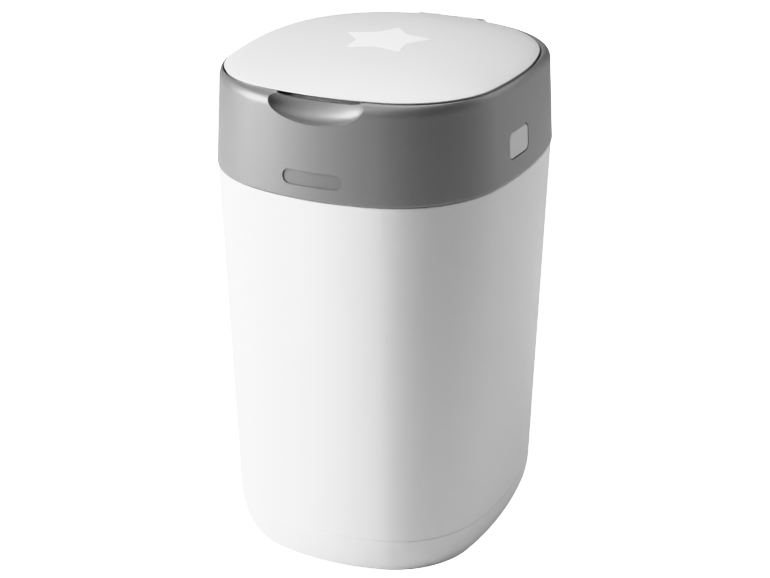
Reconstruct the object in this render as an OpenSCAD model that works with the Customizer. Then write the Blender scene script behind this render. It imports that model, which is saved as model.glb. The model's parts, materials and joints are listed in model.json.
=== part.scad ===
// Nappy bin: a tub, a hinged head that holds a film cassette, and a domed lid.
// The origin is at the centre of the flat base. Front is -Y, up is +Z. Millimetres.

/* [Body] */
// Width of the collar at its lower edge
body_w = 252; // [240:1:276]
// Depth of the collar at its lower edge
body_d = 288; // [276:1:312]
// Plan radius of the collar's corners
corner_r = 96; // [90:1:102]
// Bow of each side outward from a flat
side_bow = 3.5; // [2.5:0.5:5]

/* [Tub] */
// Height at which the collar meets the tub
tub_h = 331; // [290:1:360]
// Height of the crease above the foot band
crease_h = 34; // [28:1:44]
// Wall of the tub
tub_wall = 2.6; // [2:0.2:3.2]
// Inset of the tub just under the collar
tub_top_in = 0.8; // [0.4:0.1:1.6]
// Inset of the tub at the crease
crease_in = 11.3; // [8:0.1:14]
// Further inset of the foot band at the floor
foot_in = 11; // [8:0.5:13]
// Height of the rim that stands inside the collar
rim_h = 7; // [5:1:9]
// Gap between the rim and the collar's inner face
rim_gap = 1; // [0.8:0.1:1.4]

/* [Collar] */
// Height of the collar from its lower edge to the lid seam
collar_h = 80; // [76:1:92]
// Height of the rounded shoulder below the lid seam
shoulder_h = 11; // [9:0.5:13]
// Step from the lid's edge down to the collar's lip
lip_drop = 1.6; // [1.4:0.1:2]
// Inward draft of the collar wall at the shoulder
collar_draft = 3.7; // [2.5:0.1:4.5]
// Wall of the collar
collar_wall = 2.4; // [2:0.2:2.8]
// Width of the finger scoop
scoop_w = 80; // [70:1:88]
// Depth of the finger scoop from the front to under the lid's edge
scoop_d = 16; // [13:0.5:16]
// Width of the recessed badge field
badge_w = 51; // [40:1:60]
// Height of the recessed badge field
badge_h = 12; // [9:0.5:14]

/* [Lid] */
// Width of the shoulder at the sides of the lid
shoulder_side = 3.8; // [3.6:0.1:5]
// Width of the shoulder in front of the lid
shoulder_front = 12.7; // [11:0.1:14]
// Width of the shoulder behind the lid
shoulder_back = 10.8; // [10:0.1:12]
// Plan radius of the lid's front corners
lid_front_r = 78; // [74:1:82]
// Plan radius of the lid's back corners
lid_back_r = 99; // [95:1:101]
// Gap between lid and collar
lid_gap = 0.8; // [0.6:0.1:1]
// Rise of the lid's crown above its edge
lid_crown = 11; // [8:0.5:14]
// Wall of the lid
lid_wall = 2.4; // [2:0.2:2.8]
// Outer radius of the star let into the lid
star_r = 38; // [30:1:40]

/* [Cassette] */
// Outer radius of the film cassette, which drops in through the ring's opening
cassette_r = 89.5; // [87:0.5:89.5]
// Height of the film cassette
cassette_h = 45; // [38:1:46]
// Radius of the throat through the cassette
throat_r = 60; // [59:0.5:62]
// Radius of the turning ring's skirt
ring_r = 90; // [89:0.5:90]
// Running gap between the ring's skirt and the deck, on the radius
ring_fit = 0.06; // [0.03:0.01:0.1]

/* [Hinges] */
// Pin radius of the head hinge
head_pin_r = 2.5; // [2:0.1:3]
// Pin radius of the lid hinge
lid_pin_r = 1.2; // [1:0.1:1.4]
// Pin radius of the petals
petal_pin_r = 1; // [0.8:0.1:1.2]
// Running gap of every hinge pin, on the radius
pin_fit = 0.05; // [0.02:0.01:0.1]

/* [Buttons] */
// Width of each release button along the side
button_w = 36; // [30:1:40]
// Height of each release button
button_h = 22; // [18:1:24]
// Gap around each button
button_gap = 0.5; // [0.4:0.1:0.8]
// Inward travel of each button
button_travel = 3.5; // [2.5:0.5:3.5]

/* [Hidden] */
$fn = 48;
turn_steps = 90;
soft_gap = 0.3;

half_w = body_w / 2;
half_d = body_d / 2;
crown_top = tub_h + collar_h + lid_crown;
seam_z = tub_h + collar_h;
shoulder_z = seam_z - shoulder_h;
lip_z = seam_z - lip_drop;
lip_rise = lip_z - shoulder_z;

lid_half_w = half_w - collar_draft - shoulder_side;
lid_half_front = half_d - collar_draft - shoulder_front;
lid_half_back = half_d - collar_draft - shoulder_back;

deck_t = 3;
deck_top = seam_z - 16;
deck_low = deck_top - deck_t;
ledge_t = 3;
ledge_in = 6;
ledge_low = deck_low - ledge_t;

ring_t = 2.8;
ring_low = deck_top + soft_gap;
ring_top = ring_low + ring_t;
grip_h = 4;
skirt_low = deck_low - 1.8;
bead_top = deck_low - soft_gap;
bead_r = ring_r + 1.5;
bead_room = 0.9;

cassette_top = deck_low - 2.4;
cassette_low = cassette_top - cassette_h;
cassette_wall = 1.8;
well_gap = 0.4;
well_wall = 2;
well_floor_t = 2.4;
well_r = cassette_r + well_gap;
well_floor_r = throat_r + 10;
neck_r = max(well_r, bead_r + bead_room);
cap_t = 1.6;
cap_lip = 4;

petal_reach = 41;
petal_z = deck_low - 1;
petal_t = 1.6;
petal_half = 33;
petal_barrel_r = 2.2;
petal_seam = 0.5;
lug_t = 3;
hole_half = 38.6;

liner_low = seam_z - 8.2;
liner_t = 2;
liner_in = lid_wall + 3;
lid_skirt_low = seam_z - 9;

head_axis_y = half_d + head_pin_r + 3 + 0.6;
head_knuckle_r = head_pin_r + 3;
head_knuckle_half = 30;
lid_knuckle_r = lid_pin_r + 1;
lid_axis_y = lid_half_back + 7.3;
lid_axis_z = lip_z - 2.4;
lid_hinge_half = 30;
lid_arm_in = 10;
lid_arm_out = 24;

button_y = -21.5;
button_z = tub_h + 28;
button_flange_t = 1.5;
button_inner_x = half_w - collar_draft - collar_wall - 1.8;
flange_over = 2;
stem_half_y = 9;
stem_up = 9;
stem_down = 3;
seat_t = 1.8;
seat_x = neck_r + well_wall + soft_gap + seat_t;
spring_share = 5 / 12;
stem_end_x = seat_x + (button_inner_x - seat_x) * spring_share;
leg_t = 3;
leg_half_y = 7;
nose_gap = 1;
leg_low = tub_h - 8;
rim_in = collar_wall + rim_gap;
keeper_reach = 3.5;
keeper_x = half_w - rim_in - tub_wall - keeper_reach;
keeper_half_y = leg_half_y + 2;
leg_x = keeper_x - leg_t - 2.1;

screw_count = 6;
screw_r = 1.2;
screw_head_r = 2.7;
screw_len = 6;
slot_len = 3.2;
slot_w = 0.8;
boss_r = 3.2;
boss_x = 66;
boss_y = 72;

tub_white = "#f2f3f3";
collar_grey = "#8b8c8e";
lid_grey = "#d9dada";
button_grey = "#b4b5b6";
inner_grey = "#a9abad";
steel = "#c9ccd0";
film_blue = "#9fb4c4";

// ---- plan outlines: four corner arcs joined by shallow tangent arcs ----

// A point by the direction q of its outward normal, 0 to 90 degrees, pulled in by i
function quarter(a, b, r, s, i, q) =
    let (cx = a - r - s, cy = b - r - s,
         ra = ((r + s) ^ 2 + cy ^ 2 - r ^ 2) / (2 * s),
         rb = ((r + s) ^ 2 + cx ^ 2 - r ^ 2) / (2 * s),
         qa = atan2(cy, cx - a + ra),
         qb = atan2(cy - b + rb, cx))
    q < qa ? [a - ra + (ra - i) * cos(q), (ra - i) * sin(q)]
    : q > qb ? [(rb - i) * cos(q), b - rb + (rb - i) * sin(q)]
    : [cx + (r - i) * cos(q), cy + (r - i) * sin(q)];

// The angle folded into the first quarter
function fold(q) = let (m = q % 180) m > 90 ? 180 - m : m;

// Every point of an outline whose front and back may differ
function outline(a, bf, bb, rf, rb, i) = [for (k = [0:turn_steps - 1])
    let (q = (k + 0.5) * 360 / turn_steps,
         back = q < 180,
         p = quarter(a, back ? bb : bf, back ? rb : rf, side_bow, i, fold(q)))
    [(q < 90 || q > 270) ? p.x : -p.x, back ? p.y : -p.y]];

function body_outline(i) = outline(half_w, half_d, half_d, corner_r, corner_r, i);
function lid_outline(i) = outline(lid_half_w, lid_half_front, lid_half_back,
    lid_front_r, lid_back_r, i);

function at_z(ring, z) = [for (p = ring) [p.x, p.y, z]];
function mix_rings(a, b, t) = [for (k = [0:len(a) - 1]) a[k] + (b[k] - a[k]) * t];
function step_rings(a, b, t) = [for (k = [0:len(a) - 1])
    a[k] + (b[k] - a[k]) * min(t / norm(b[k] - a[k]), 0.36)];
function scale_ring(a, k, cy) = [for (p = a) [p.x * k, cy + (p.y - cy) * k]];

// A solid skinned over rings in order: up the outside, then down the inside
module skin(rings, closed = false) {
    n = len(rings[0]);
    m = len(rings);
    walls = [for (j = [0:closed ? m - 1 : m - 2]) for (i = [0:n - 1])
        let (k = (i + 1) % n, u = (j + 1) % m)
        each [[j * n + i, u * n + i, u * n + k], [j * n + i, u * n + k, j * n + k]]];
    ends = closed ? [] : [[for (i = [0:n - 1]) i], [for (i = [n - 1:-1:0]) (m - 1) * n + i]];
    polyhedron(points = [for (r = rings) each r], faces = concat(walls, ends));
}

module plate(ring, z, h) {
    translate([0, 0, z]) linear_extrude(height = h) polygon(ring);
}

module box(low, high) {
    translate(low) cube(high - low);
}

module rod_x(x0, x1, y, z, r) {
    translate([x0, y, z]) rotate([0, 90, 0]) cylinder(r = r, h = x1 - x0);
}

module tube(r0, r1, z0, z1) {
    difference() {
        translate([0, 0, z0]) cylinder(r = r1, h = z1 - z0, $fn = 96);
        translate([0, 0, z0 - 1]) cylinder(r = r0, h = z1 - z0 + 2, $fn = 96);
    }
}

// A coil drawn as a stack of touching turns along +Z
module coil(r, wire, length) {
    turns = max(2, round(length / (wire * 1.9)));
    pitch = (length - wire) / (turns - 1);
    lap = pitch < wire ? pitch : wire * 0.96;
    for (k = [0:turns - 1])
        translate([0, 0, wire / 2 + k * pitch])
            rotate_extrude($fn = 36) translate([r, 0]) circle(d = wire, $fn = 16);
    for (q = [0, 180]) rotate([0, 0, q])
        translate([r - wire * 0.2, -lap / 4, wire / 2])
            cube([wire * 0.4, lap / 2, length - wire]);
}

module rounded_block(w, h, r, x0, x1) {
    translate([x0, 0, 0]) rotate([90, 0, 90]) linear_extrude(height = x1 - x0)
        union() {
            square([w - 2 * r, h], center = true);
            square([w, h - 2 * r], center = true);
            for (u = [-1, 1], v = [-1, 1])
                translate([u * (w / 2 - r), v * (h / 2 - r)]) circle(r = r);
        }
}

// ---- tub ----

function tub_in(z) = tub_top_in
    + (crease_in - tub_top_in) * (tub_h - z) / (tub_h - crease_h);
function foot_extra(z) = foot_in * (1 - z / crease_h) ^ 2.4;

module tub_skin() {
    foot_z = [0, 0.07, 0.16, 0.3, 0.5, 0.75];
    low_gap = 0.4;
    skin(concat(
        [for (t = foot_z) at_z(body_outline(crease_in + foot_extra(t * crease_h)), t * crease_h)],
        [for (z = [crease_h, tub_h - low_gap]) at_z(body_outline(tub_in(z)), z)],
        [at_z(body_outline(rim_in), tub_h - low_gap),
         at_z(body_outline(rim_in), tub_h + rim_h),
         at_z(body_outline(rim_in + tub_wall), tub_h + rim_h),
         at_z(body_outline(rim_in + tub_wall), tub_h - 8),
         at_z(body_outline(tub_in(tub_h - 14) + tub_wall), tub_h - 14),
         at_z(body_outline(crease_in + tub_wall), crease_h + 1)],
        [for (t = [0.5, 0.3, 0.16])
            at_z(body_outline(crease_in + foot_extra(t * crease_h) + tub_wall),
                t * crease_h + tub_wall)],
        [at_z(body_outline(crease_in + foot_extra(tub_wall) + 2 * tub_wall), tub_wall + 1)]));
}

module tub_shell() {
    color(tub_white) difference() {
        union() {
            tub_skin();
            box([-head_knuckle_half, half_d - tub_top_in - 3, tub_h - 11],
                [head_knuckle_half, head_axis_y, tub_h - 0.4]);
            rod_x(-head_knuckle_half, head_knuckle_half, head_axis_y, tub_h, head_knuckle_r);
            for (s = [-1, 1]) keeper(s);
        }
        rod_x(-head_knuckle_half - 1, head_knuckle_half + 1, head_axis_y, tub_h,
            head_pin_r + pin_fit);
    }
}

// Ledge inside the rim that a button's latch nose lies under
module keeper(s) {
    x0 = min(s * keeper_x, s * (half_w - rim_in - 2));
    x1 = max(s * keeper_x, s * (half_w - rim_in - 2));
    box([x0, button_y - keeper_half_y, tub_h - 3], [x1, button_y + keeper_half_y, tub_h + 1]);
}

module head_hinge_pin() {
    reach = head_knuckle_half + 16.5;
    color(steel) union() {
        rod_x(-reach, reach, head_axis_y, tub_h, head_pin_r);
        for (x = [-reach - 1.5, reach]) rod_x(x, x + 1.5, head_axis_y, tub_h, head_pin_r + 1);
    }
}

// ---- collar ----

function collar_in(z) = collar_draft * min(1, (z - tub_h) / (shoulder_z - tub_h));
function shoulder_ring(q, i) = let (a = body_outline(collar_draft + i),
    b = lid_outline(-lid_gap)) mix_rings(a, b, 1 - cos(q));

shoulder_turns = [22.5, 45, 67.5, 90];

// The collar's outer form as one full block, pulled in all over by i
module collar_core(i) {
    skin(concat([at_z(body_outline(i), tub_h), at_z(body_outline(collar_draft + i), shoulder_z)],
        [for (q = shoulder_turns)
            at_z(shoulder_ring(q, i), shoulder_z + (lip_rise - i) * sin(q))]));
}

module collar_skin() {
    lip_low = seam_z - shoulder_h * 0.7;
    lip = lid_outline(-lid_gap);
    wall_top = body_outline(collar_draft);
    wall_in = body_outline(collar_draft + collar_wall);
    skin(concat(
        [at_z(body_outline(0.6), tub_h), at_z(body_outline(0), tub_h + 1.2),
         at_z(wall_top, shoulder_z)],
        [for (q = shoulder_turns) at_z(shoulder_ring(q, 0), shoulder_z + lip_rise * sin(q))],
        [at_z(lip, deck_low),
         at_z(lid_outline(ledge_in), deck_low),
         at_z(lid_outline(ledge_in), ledge_low),
         at_z(step_rings(lip, wall_top, collar_wall), ledge_low),
         at_z(step_rings(lip, wall_top, collar_wall), lip_low),
         at_z(step_rings(wall_top, lip, collar_wall), shoulder_z),
         at_z(step_rings(wall_top, lip, collar_wall), ledge_low + 2),
         at_z(wall_in, ledge_low - 4),
         at_z(body_outline(collar_wall), tub_h)]), closed = true);
}

scoop_z = seam_z - 5;
scoop_low = 15.2;
scoop_round = 9.5;
scoop_y = -half_d + collar_draft + scoop_d - scoop_round;
notch_half = scoop_w / 2 - 2.5;
notch_top = seam_z - lip_drop;

// Bowl across the front that runs in under the lid's edge, with extra wall w
module scoop_dish(w) {
    out = scoop_y + half_d + 2;
    translate([0, scoop_y, scoop_z]) scale([scoop_w / 2 + w, 1, scoop_low + w])
        rotate([-90, 0, 0]) rotate_extrude($fn = 48) polygon(concat([[0, -out], [1, -out]],
            [for (t = [0:9:81]) [cos(t), (scoop_round + w) * sin(t)]], [[0, scoop_round + w]]));
}

// Space kept clear for the lid, less the pocket that its notched skirt leaves for the scoop
module lid_room() {
    low = shoulder_z - 30;
    difference() {
        plate(lid_outline(-lid_gap), low, 60);
        box([0.8 - notch_half, -half_d, ledge_low], [notch_half - 0.8, 0, notch_top - soft_gap]);
    }
    plate(lid_outline(liner_in - 0.6), low, 60);
}

// Bare field sunk evenly into the curved front
module badge_recess() {
    depth = 0.8;
    difference() {
        translate([0, -half_d + 6, tub_h + 17]) rotate([90, 0, 0]) linear_extrude(height = 12) {
            square([badge_w - badge_h, badge_h], center = true);
            for (u = [-1, 1]) translate([u * (badge_w - badge_h) / 2, 0]) circle(d = badge_h);
        }
        collar_core(depth);
    }
}

module button_cage() {
    half = button_w / 2 + flange_over + 0.8;
    wall = 2;
    top = button_z + stem_up + soft_gap;
    low = button_z - stem_down - soft_gap;
    guide_x = button_inner_x - button_flange_t - button_travel - 0.4;
    box([seat_x - seat_t, button_y - half - wall, low - wall],
        [half_w, button_y - half, top + wall]);
    box([seat_x - seat_t, button_y + half, low - wall],
        [half_w, button_y + half + wall, top + wall]);
    box([seat_x - seat_t, button_y - half - 1, top], [guide_x, button_y + half + 1, top + wall]);
    box([seat_x - seat_t, button_y - half - 1, low - wall],
        [leg_x - button_travel - soft_gap, button_y + half + 1, low]);
    box([seat_x - seat_t, button_y - half - 1, low - wall], [seat_x, button_y + half + 1, top + wall]);
}

module lid_hinge_seat() {
    for (x = [[-lid_hinge_half, -lid_arm_out - 0.3], [-lid_arm_in + 0.3, lid_arm_in - 0.3],
              [lid_arm_out + 0.3, lid_hinge_half]]) {
        box([x[0], lid_half_back + lid_gap + 0.4, shoulder_z],
            [x[1], lid_axis_y, lid_axis_z]);
        rod_x(x[0], x[1], lid_axis_y, lid_axis_z, lid_knuckle_r);
    }
}

module lid_hinge_notch() {
    for (x = [-lid_hinge_half - 2, lid_hinge_half + 0.2])
        rod_x(x, x + 1.8, lid_axis_y, lid_axis_z, lid_pin_r + 0.8 + soft_gap);
    for (s = [-1, 1]) {
        x0 = s > 0 ? lid_arm_in - 0.3 : -lid_arm_out - 0.3;
        x1 = s > 0 ? lid_arm_out + 0.3 : -lid_arm_in + 0.3;
        rod_x(x0, x1, lid_axis_y, lid_axis_z, lid_knuckle_r + 0.4);
        box([x0, lid_axis_y - 10, lid_axis_z - lid_knuckle_r - 0.4],
            [x1, lid_axis_y, crown_top + 6]);
        box([x0, lid_axis_y - 1, lid_axis_z], [x1, lid_axis_y + lid_knuckle_r + 0.4, crown_top + 6]);
    }
}

function deck_screw_at(k) = let (ring = lid_outline(2.7),
    n = round(k * turn_steps / screw_count)) ring[n];

module collar_shell() {
    ear_reach = head_knuckle_half + 16;
    color(collar_grey) difference() {
        union() {
            collar_skin();
            intersection() {
                collar_core(0.01);
                difference() {
                    union() {
                        scoop_dish(collar_wall);
                        box([-lid_hinge_half - 1, lid_half_back + lid_gap, shoulder_z - 4],
                            [lid_hinge_half + 1, half_d, lid_axis_z - 3]);
                    }
                    lid_room();
                }
            }
            intersection() {
                collar_core(collar_wall / 2);
                union() {
                    button_cage();
                    mirror([1, 0, 0]) button_cage();
                }
            }
            lid_hinge_seat();
            difference() {
                for (x = [-ear_reach, head_knuckle_half + 0.3]) {
                    box([x, half_d - 12, tub_h],
                        [x + ear_reach - head_knuckle_half - 0.3, head_axis_y, tub_h + 8]);
                    rod_x(x, x + ear_reach - head_knuckle_half - 0.3, head_axis_y, tub_h,
                        head_knuckle_r);
                }
                plate(body_outline(collar_wall / 2), tub_h - 20, 60);
            }
            for (k = [0:screw_count - 1])
                translate([deck_screw_at(k).x, deck_screw_at(k).y, ledge_low - screw_len - 2])
                    cylinder(r = boss_r, h = screw_len + 2.5);
        }
        scoop_dish(0);
        for (s = [-1, 1]) translate([0, button_y, button_z])
            rounded_block(button_w + 2 * button_gap, button_h + 2 * button_gap, 6,
                s > 0 ? button_inner_x - 1 : -half_w - 2, s > 0 ? half_w + 2 : 1 - button_inner_x);
        badge_recess();
        lid_hinge_notch();
        rod_x(-lid_hinge_half - 1, lid_hinge_half + 1, lid_axis_y, lid_axis_z, lid_pin_r + pin_fit);
        rod_x(-ear_reach - 1, ear_reach + 1, head_axis_y, tub_h, head_pin_r + pin_fit);
        for (k = [0:screw_count - 1])
            translate([deck_screw_at(k).x, deck_screw_at(k).y, ledge_low - screw_len - 0.5])
                cylinder(r = screw_r + pin_fit, h = 20);
    }
}

// ---- head deck with the cassette's well ----

// The well's floor and wall, and the wider neck round the ring's bead
module cassette_well() {
    low = cassette_low - well_floor_t;
    step = cassette_top - well_floor_t;
    rotate_extrude($fn = 96) union() {
        translate([well_floor_r, low]) square([well_r + 0.5 - well_floor_r, well_floor_t]);
        translate([well_r, low]) square([well_wall, cassette_top - low]);
        translate([well_r, step]) square([neck_r + well_wall - well_r, well_floor_t]);
        translate([neck_r, step]) square([well_wall, deck_low + 0.5 - step]);
    }
}

module head_deck() {
    color(inner_grey) difference() {
        union() {
            plate(lid_outline(-lid_gap + 0.4), deck_low, deck_t);
            difference() {
                plate(lid_outline(ledge_in), deck_top - 0.5, 3.9);
                plate(lid_outline(ledge_in + 3), deck_top - 1, 6);
            }
            cassette_well();
        }
        translate([0, 0, deck_low - 1]) cylinder(r = ring_r, h = deck_t + 2, $fn = 96);
        scoop_dish(collar_wall + soft_gap);
        for (k = [0:screw_count - 1])
            translate([deck_screw_at(k).x, deck_screw_at(k).y, deck_low - 1])
                cylinder(r = screw_r + 0.2, h = deck_t + 2);
    }
}

module deck_screws() {
    color(steel) for (k = [0:screw_count - 1])
        translate([deck_screw_at(k).x, deck_screw_at(k).y, 0]) difference() {
            union() {
                translate([0, 0, ledge_low - screw_len])
                    cylinder(r = screw_r, h = deck_top - ledge_low + screw_len + 0.5);
                translate([0, 0, deck_top]) cylinder(r = screw_head_r, h = 1.8);
            }
            for (q = [0, 90]) translate([0, 0, deck_top + 1.5]) rotate([0, 0, q])
                cube([slot_len, slot_w, 1.4], center = true);
        }
}

// Leaf behind the ring that clicks over the notches in its rim
module click_spring() {
    rim = bead_r + 2;
    color(steel) rotate([0, 0, 90]) union() {
        box([rim + 3, -9, deck_top], [rim + 9, -3, deck_top + 1]);
        box([rim + 3, -9, deck_top], [rim + 3.8, 8, ring_top]);
        translate([rim + 1.6, 6, deck_top + 0.3]) cylinder(r = 1.3, h = ring_top - deck_top - 0.3);
        box([rim + 1.6, 5.2, deck_top + 0.3], [rim + 3.5, 6.8, ring_top]);
    }
}

// ---- film cassette ----

module cassette_body() {
    color(film_blue) union() {
        tube(throat_r, throat_r + cassette_wall, cassette_low, cassette_top - 2);
        tube(cassette_r - cassette_wall, cassette_r, cassette_low, cassette_top - cap_t);
        tube(throat_r, cassette_r, cassette_low, cassette_low + cassette_wall);
    }
}

module cassette_cap() {
    slot = 0.8;
    color("white") union() {
        tube(throat_r + cassette_wall + slot, cassette_r, cassette_top - cap_t, cassette_top);
        tube(cassette_r - 2 * cassette_wall - soft_gap, cassette_r - cassette_wall - soft_gap,
            cassette_top - cap_t - cap_lip, cassette_top - cap_t / 2);
    }
}

// Pleated film packed round the neck
module film_pack() {
    r0 = throat_r + cassette_wall + 0.6;
    r1 = cassette_r - cassette_wall - 0.6;
    z0 = cassette_low + cassette_wall + soft_gap;
    z1 = cassette_top - cap_t - cap_lip - soft_gap;
    pleats = 10;
    step = (z1 - z0) / pleats;
    color("#dfe9ef") rotate_extrude($fn = 96) union() {
        translate([r0 + 0.8, z0]) square([r1 - r0 - 1.6, z1 - z0]);
        for (k = [0:pleats - 1]) translate([r0, z0 + k * step + 0.15 * step])
            square([r1 - r0, step * 0.7]);
    }
}

module lid_hinge_pin() {
    color(steel) union() {
        rod_x(-lid_hinge_half - 0.5, lid_hinge_half + 0.5, lid_axis_y, lid_axis_z, lid_pin_r);
        for (x = [-lid_hinge_half - 1.7, lid_hinge_half + 0.5])
            rod_x(x, x + 1.2, lid_axis_y, lid_axis_z, lid_pin_r + 0.8);
    }
}

// ---- turning ring ----

cup_x = [petal_reach + petal_barrel_r + 0.7, throat_r - 3];
cup_half = 11;
cup_floor = deck_low - 4;
cutter_x = (cup_x[0] + cup_x[1]) / 2;

module twist_ring() {
    notches = 24;
    grips = 6;
    notch_r = 1.2;
    color(lid_grey) difference() {
        union() {
            translate([0, 0, ring_low]) cylinder(r = bead_r + 2, h = ring_t, $fn = 96);
            tube(ring_r - 2.6, ring_r - ring_fit, skirt_low, ring_low + 1);
            tube(ring_r - 2.6, bead_r, skirt_low, bead_top);
            box([cup_x[0], -cup_half, cup_floor], [cup_x[1], cup_half, ring_low + 1]);
            for (k = [0:3]) rotate([0, 0, 90 * k]) petal_lugs();
            for (k = [0:grips - 1]) rotate([0, 0, (k + 0.5) * 360 / grips]) grip();
        }
        translate([0, 0, ring_low - 1]) linear_extrude(height = ring_t + 2)
            square(2 * hole_half, center = true);
        box([cup_x[0] + 1.4, 1.4 - cup_half, cup_floor + 1.6],
            [cup_x[1] - 1.4, cup_half - 1.4, ring_top + 1]);
        box([cutter_x - 1.9, -5.4, cup_floor - 1], [cutter_x + 1.9, 5.4, cup_floor + 3]);
        for (s = [-1, 1])
            box([cutter_x - 3.2, s > 0 ? 6.6 : -8.8, cup_floor - 1],
                [cutter_x + 3.2, s > 0 ? 8.8 : -6.6, cup_floor + 3]);
        for (k = [0:notches - 1]) rotate([0, 0, (k + 0.5) * 360 / notches])
            translate([bead_r + 2.3, 0, ring_low - 1]) cylinder(r = notch_r, h = ring_t + 2);
        for (k = [0:3]) rotate([0, 0, 90 * k]) petal_axis(petal_pin_r + pin_fit, 1);
    }
}

module petal_axis(r, over) {
    reach = petal_half + 0.3 + lug_t + over;
    translate([petal_reach, reach, petal_z]) rotate([90, 0, 0]) cylinder(r = r, h = 2 * reach);
}

module petal_lugs() {
    for (s = [-1, 1]) {
        y0 = s > 0 ? petal_half + 0.3 : -petal_half - 0.3 - lug_t;
        translate([petal_reach, y0 + lug_t, petal_z]) rotate([90, 0, 0])
            cylinder(r = petal_barrel_r, h = lug_t);
        box([petal_reach - petal_barrel_r, y0, petal_z],
            [petal_reach + petal_barrel_r, y0 + lug_t, ring_low + 1]);
    }
}

module grip() {
    r0 = throat_r + 8;
    r1 = ring_r - 6;
    half = 3;
    translate([0, 0, ring_top - 0.5]) linear_extrude(height = grip_h + 0.5) union() {
        translate([r0, -half]) square([r1 - r0, 2 * half]);
        for (r = [r0, r1]) translate([r, 0]) circle(r = half);
    }
}

module petal_pins() {
    color(steel) for (k = [0:3]) rotate([0, 0, 90 * k]) petal_axis(petal_pin_r, 0.4);
}

spring_len = 5.4;

module petal_springs() {
    color(steel) for (k = [0:3]) rotate([0, 0, 90 * k])
        translate([petal_reach, -petal_half + spring_len, petal_z]) rotate([90, 0, 0])
            coil(petal_pin_r + 0.75, 0.6, spring_len);
}

// One quarter flap that folds down about its pin
module petal() {
    near = petal_seam * 1.8;
    y_up = petal_half - 1.1;
    y_low = petal_half - spring_len - 0.3;
    z0 = petal_z - petal_t / 2;
    color("#c4c7c9") difference() {
        union() {
            translate([0, 0, z0]) linear_extrude(height = petal_t)
                polygon([[near, near - petal_seam], [y_up + petal_seam, y_up],
                    [petal_reach, y_up], [petal_reach, -y_low],
                    [y_low + petal_seam, -y_low], [near, petal_seam - near]]);
            translate([petal_reach, petal_half, petal_z]) rotate([90, 0, 0])
                cylinder(r = petal_barrel_r, h = 2 * petal_half - spring_len - 0.3);
        }
        petal_axis(petal_pin_r + pin_fit, 1);
    }
}

module petal_right() { petal(); }
module petal_back() { rotate([0, 0, 90]) petal(); }
module petal_left() { rotate([0, 0, 180]) petal(); }
module petal_front() { rotate([0, 0, 270]) petal(); }

// ---- film cutter, pressed down into the throat ----

cutter_top = ring_top + 2.6;
pad_t = 2.4;

module cutter_slider() {
    x0 = cup_x[0] + 1.8;
    x1 = cup_x[1] - 1.8;
    pad_low = cutter_top - pad_t;
    color("#c4483d") union() {
        box([x0, 1.8 - cup_half, pad_low], [x1, cup_half - 1.8, cutter_top]);
        box([cutter_x - 1.6, -5, cup_floor + 0.4], [cutter_x + 0.2, 5, pad_low + 0.5]);
        for (s = [-1, 1]) {
            y0 = s > 0 ? 7 : -8.4;
            box([cutter_x - 2.8, y0, cup_floor - 1.6], [cutter_x + 2.8, y0 + 1.4, pad_low + 0.5]);
            box([cutter_x - 2.8, s > 0 ? 7 : -9.8, cup_floor - 1.6],
                [cutter_x + 2.8, s > 0 ? 9.8 : -7, cup_floor - 0.3]);
        }
    }
}

module cutter_blade() {
    top = cup_floor + 7;
    tip = cup_floor + 0.2;
    color(steel) translate([cutter_x + 0.2, 0, 0]) rotate([90, 0, 90]) linear_extrude(height = 0.6)
        polygon([[-4.5, top], [-4.5, tip + 3], [0, tip], [4.5, tip + 3], [4.5, top]]);
}

module cutter_spring() {
    low = cup_floor + 1.6;
    color(steel) for (y = [-1, 1]) translate([cutter_x + 3.4, y * 3, low])
        coil(0.9, 0.4, cutter_top - pad_t - low);
}

// ---- lid ----

lid_mid_y = (lid_half_back - lid_half_front) / 2;
dome_steps = [1, 0.95, 0.85, 0.7, 0.5, 0.32];

function dome_z(k) = lid_crown * (1 - k ^ 2.4);

module lid_skin() {
    edge = lid_outline(1);
    under = lid_outline(lid_wall);
    skin(concat(
        [for (n = [len(dome_steps) - 1:-1:1])
            at_z(scale_ring(under, dome_steps[n], lid_mid_y), seam_z - lid_wall + dome_z(dome_steps[n]))],
        [at_z(under, seam_z - lid_wall), at_z(under, lid_skirt_low),
         at_z(lid_outline(0.3), lid_skirt_low), at_z(lid_outline(0), seam_z - 1)],
        [for (k = dome_steps) at_z(scale_ring(edge, k, lid_mid_y), seam_z + dome_z(k))]));
}

// The lid's filled form down to mid wall, which the bosses are cut to
module lid_core() {
    edge = lid_outline(1);
    skin(concat([at_z(edge, liner_low)],
        [for (k = dome_steps)
            at_z(scale_ring(edge, k, lid_mid_y), seam_z - lid_wall / 2 + dome_z(k))]));
}

star_low = seam_z + dome_z(0.32) - 0.9;

star_at = [-4, 3];
star_turn = -48;

module star_plate(r, grow) {
    waist = 0.6;
    polygon([for (k = [0:9]) let (q = star_turn + 36 * k, d = (k % 2 == 0 ? r : r * waist) + grow)
        [d * cos(q), d * sin(q)]]);
}

module lid_bosses(r, z0, z1) {
    for (x = [-boss_x, boss_x], y = [-boss_y, boss_y])
        translate([x, y + lid_mid_y, z0]) cylinder(r = r, h = z1 - z0);
}

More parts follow.
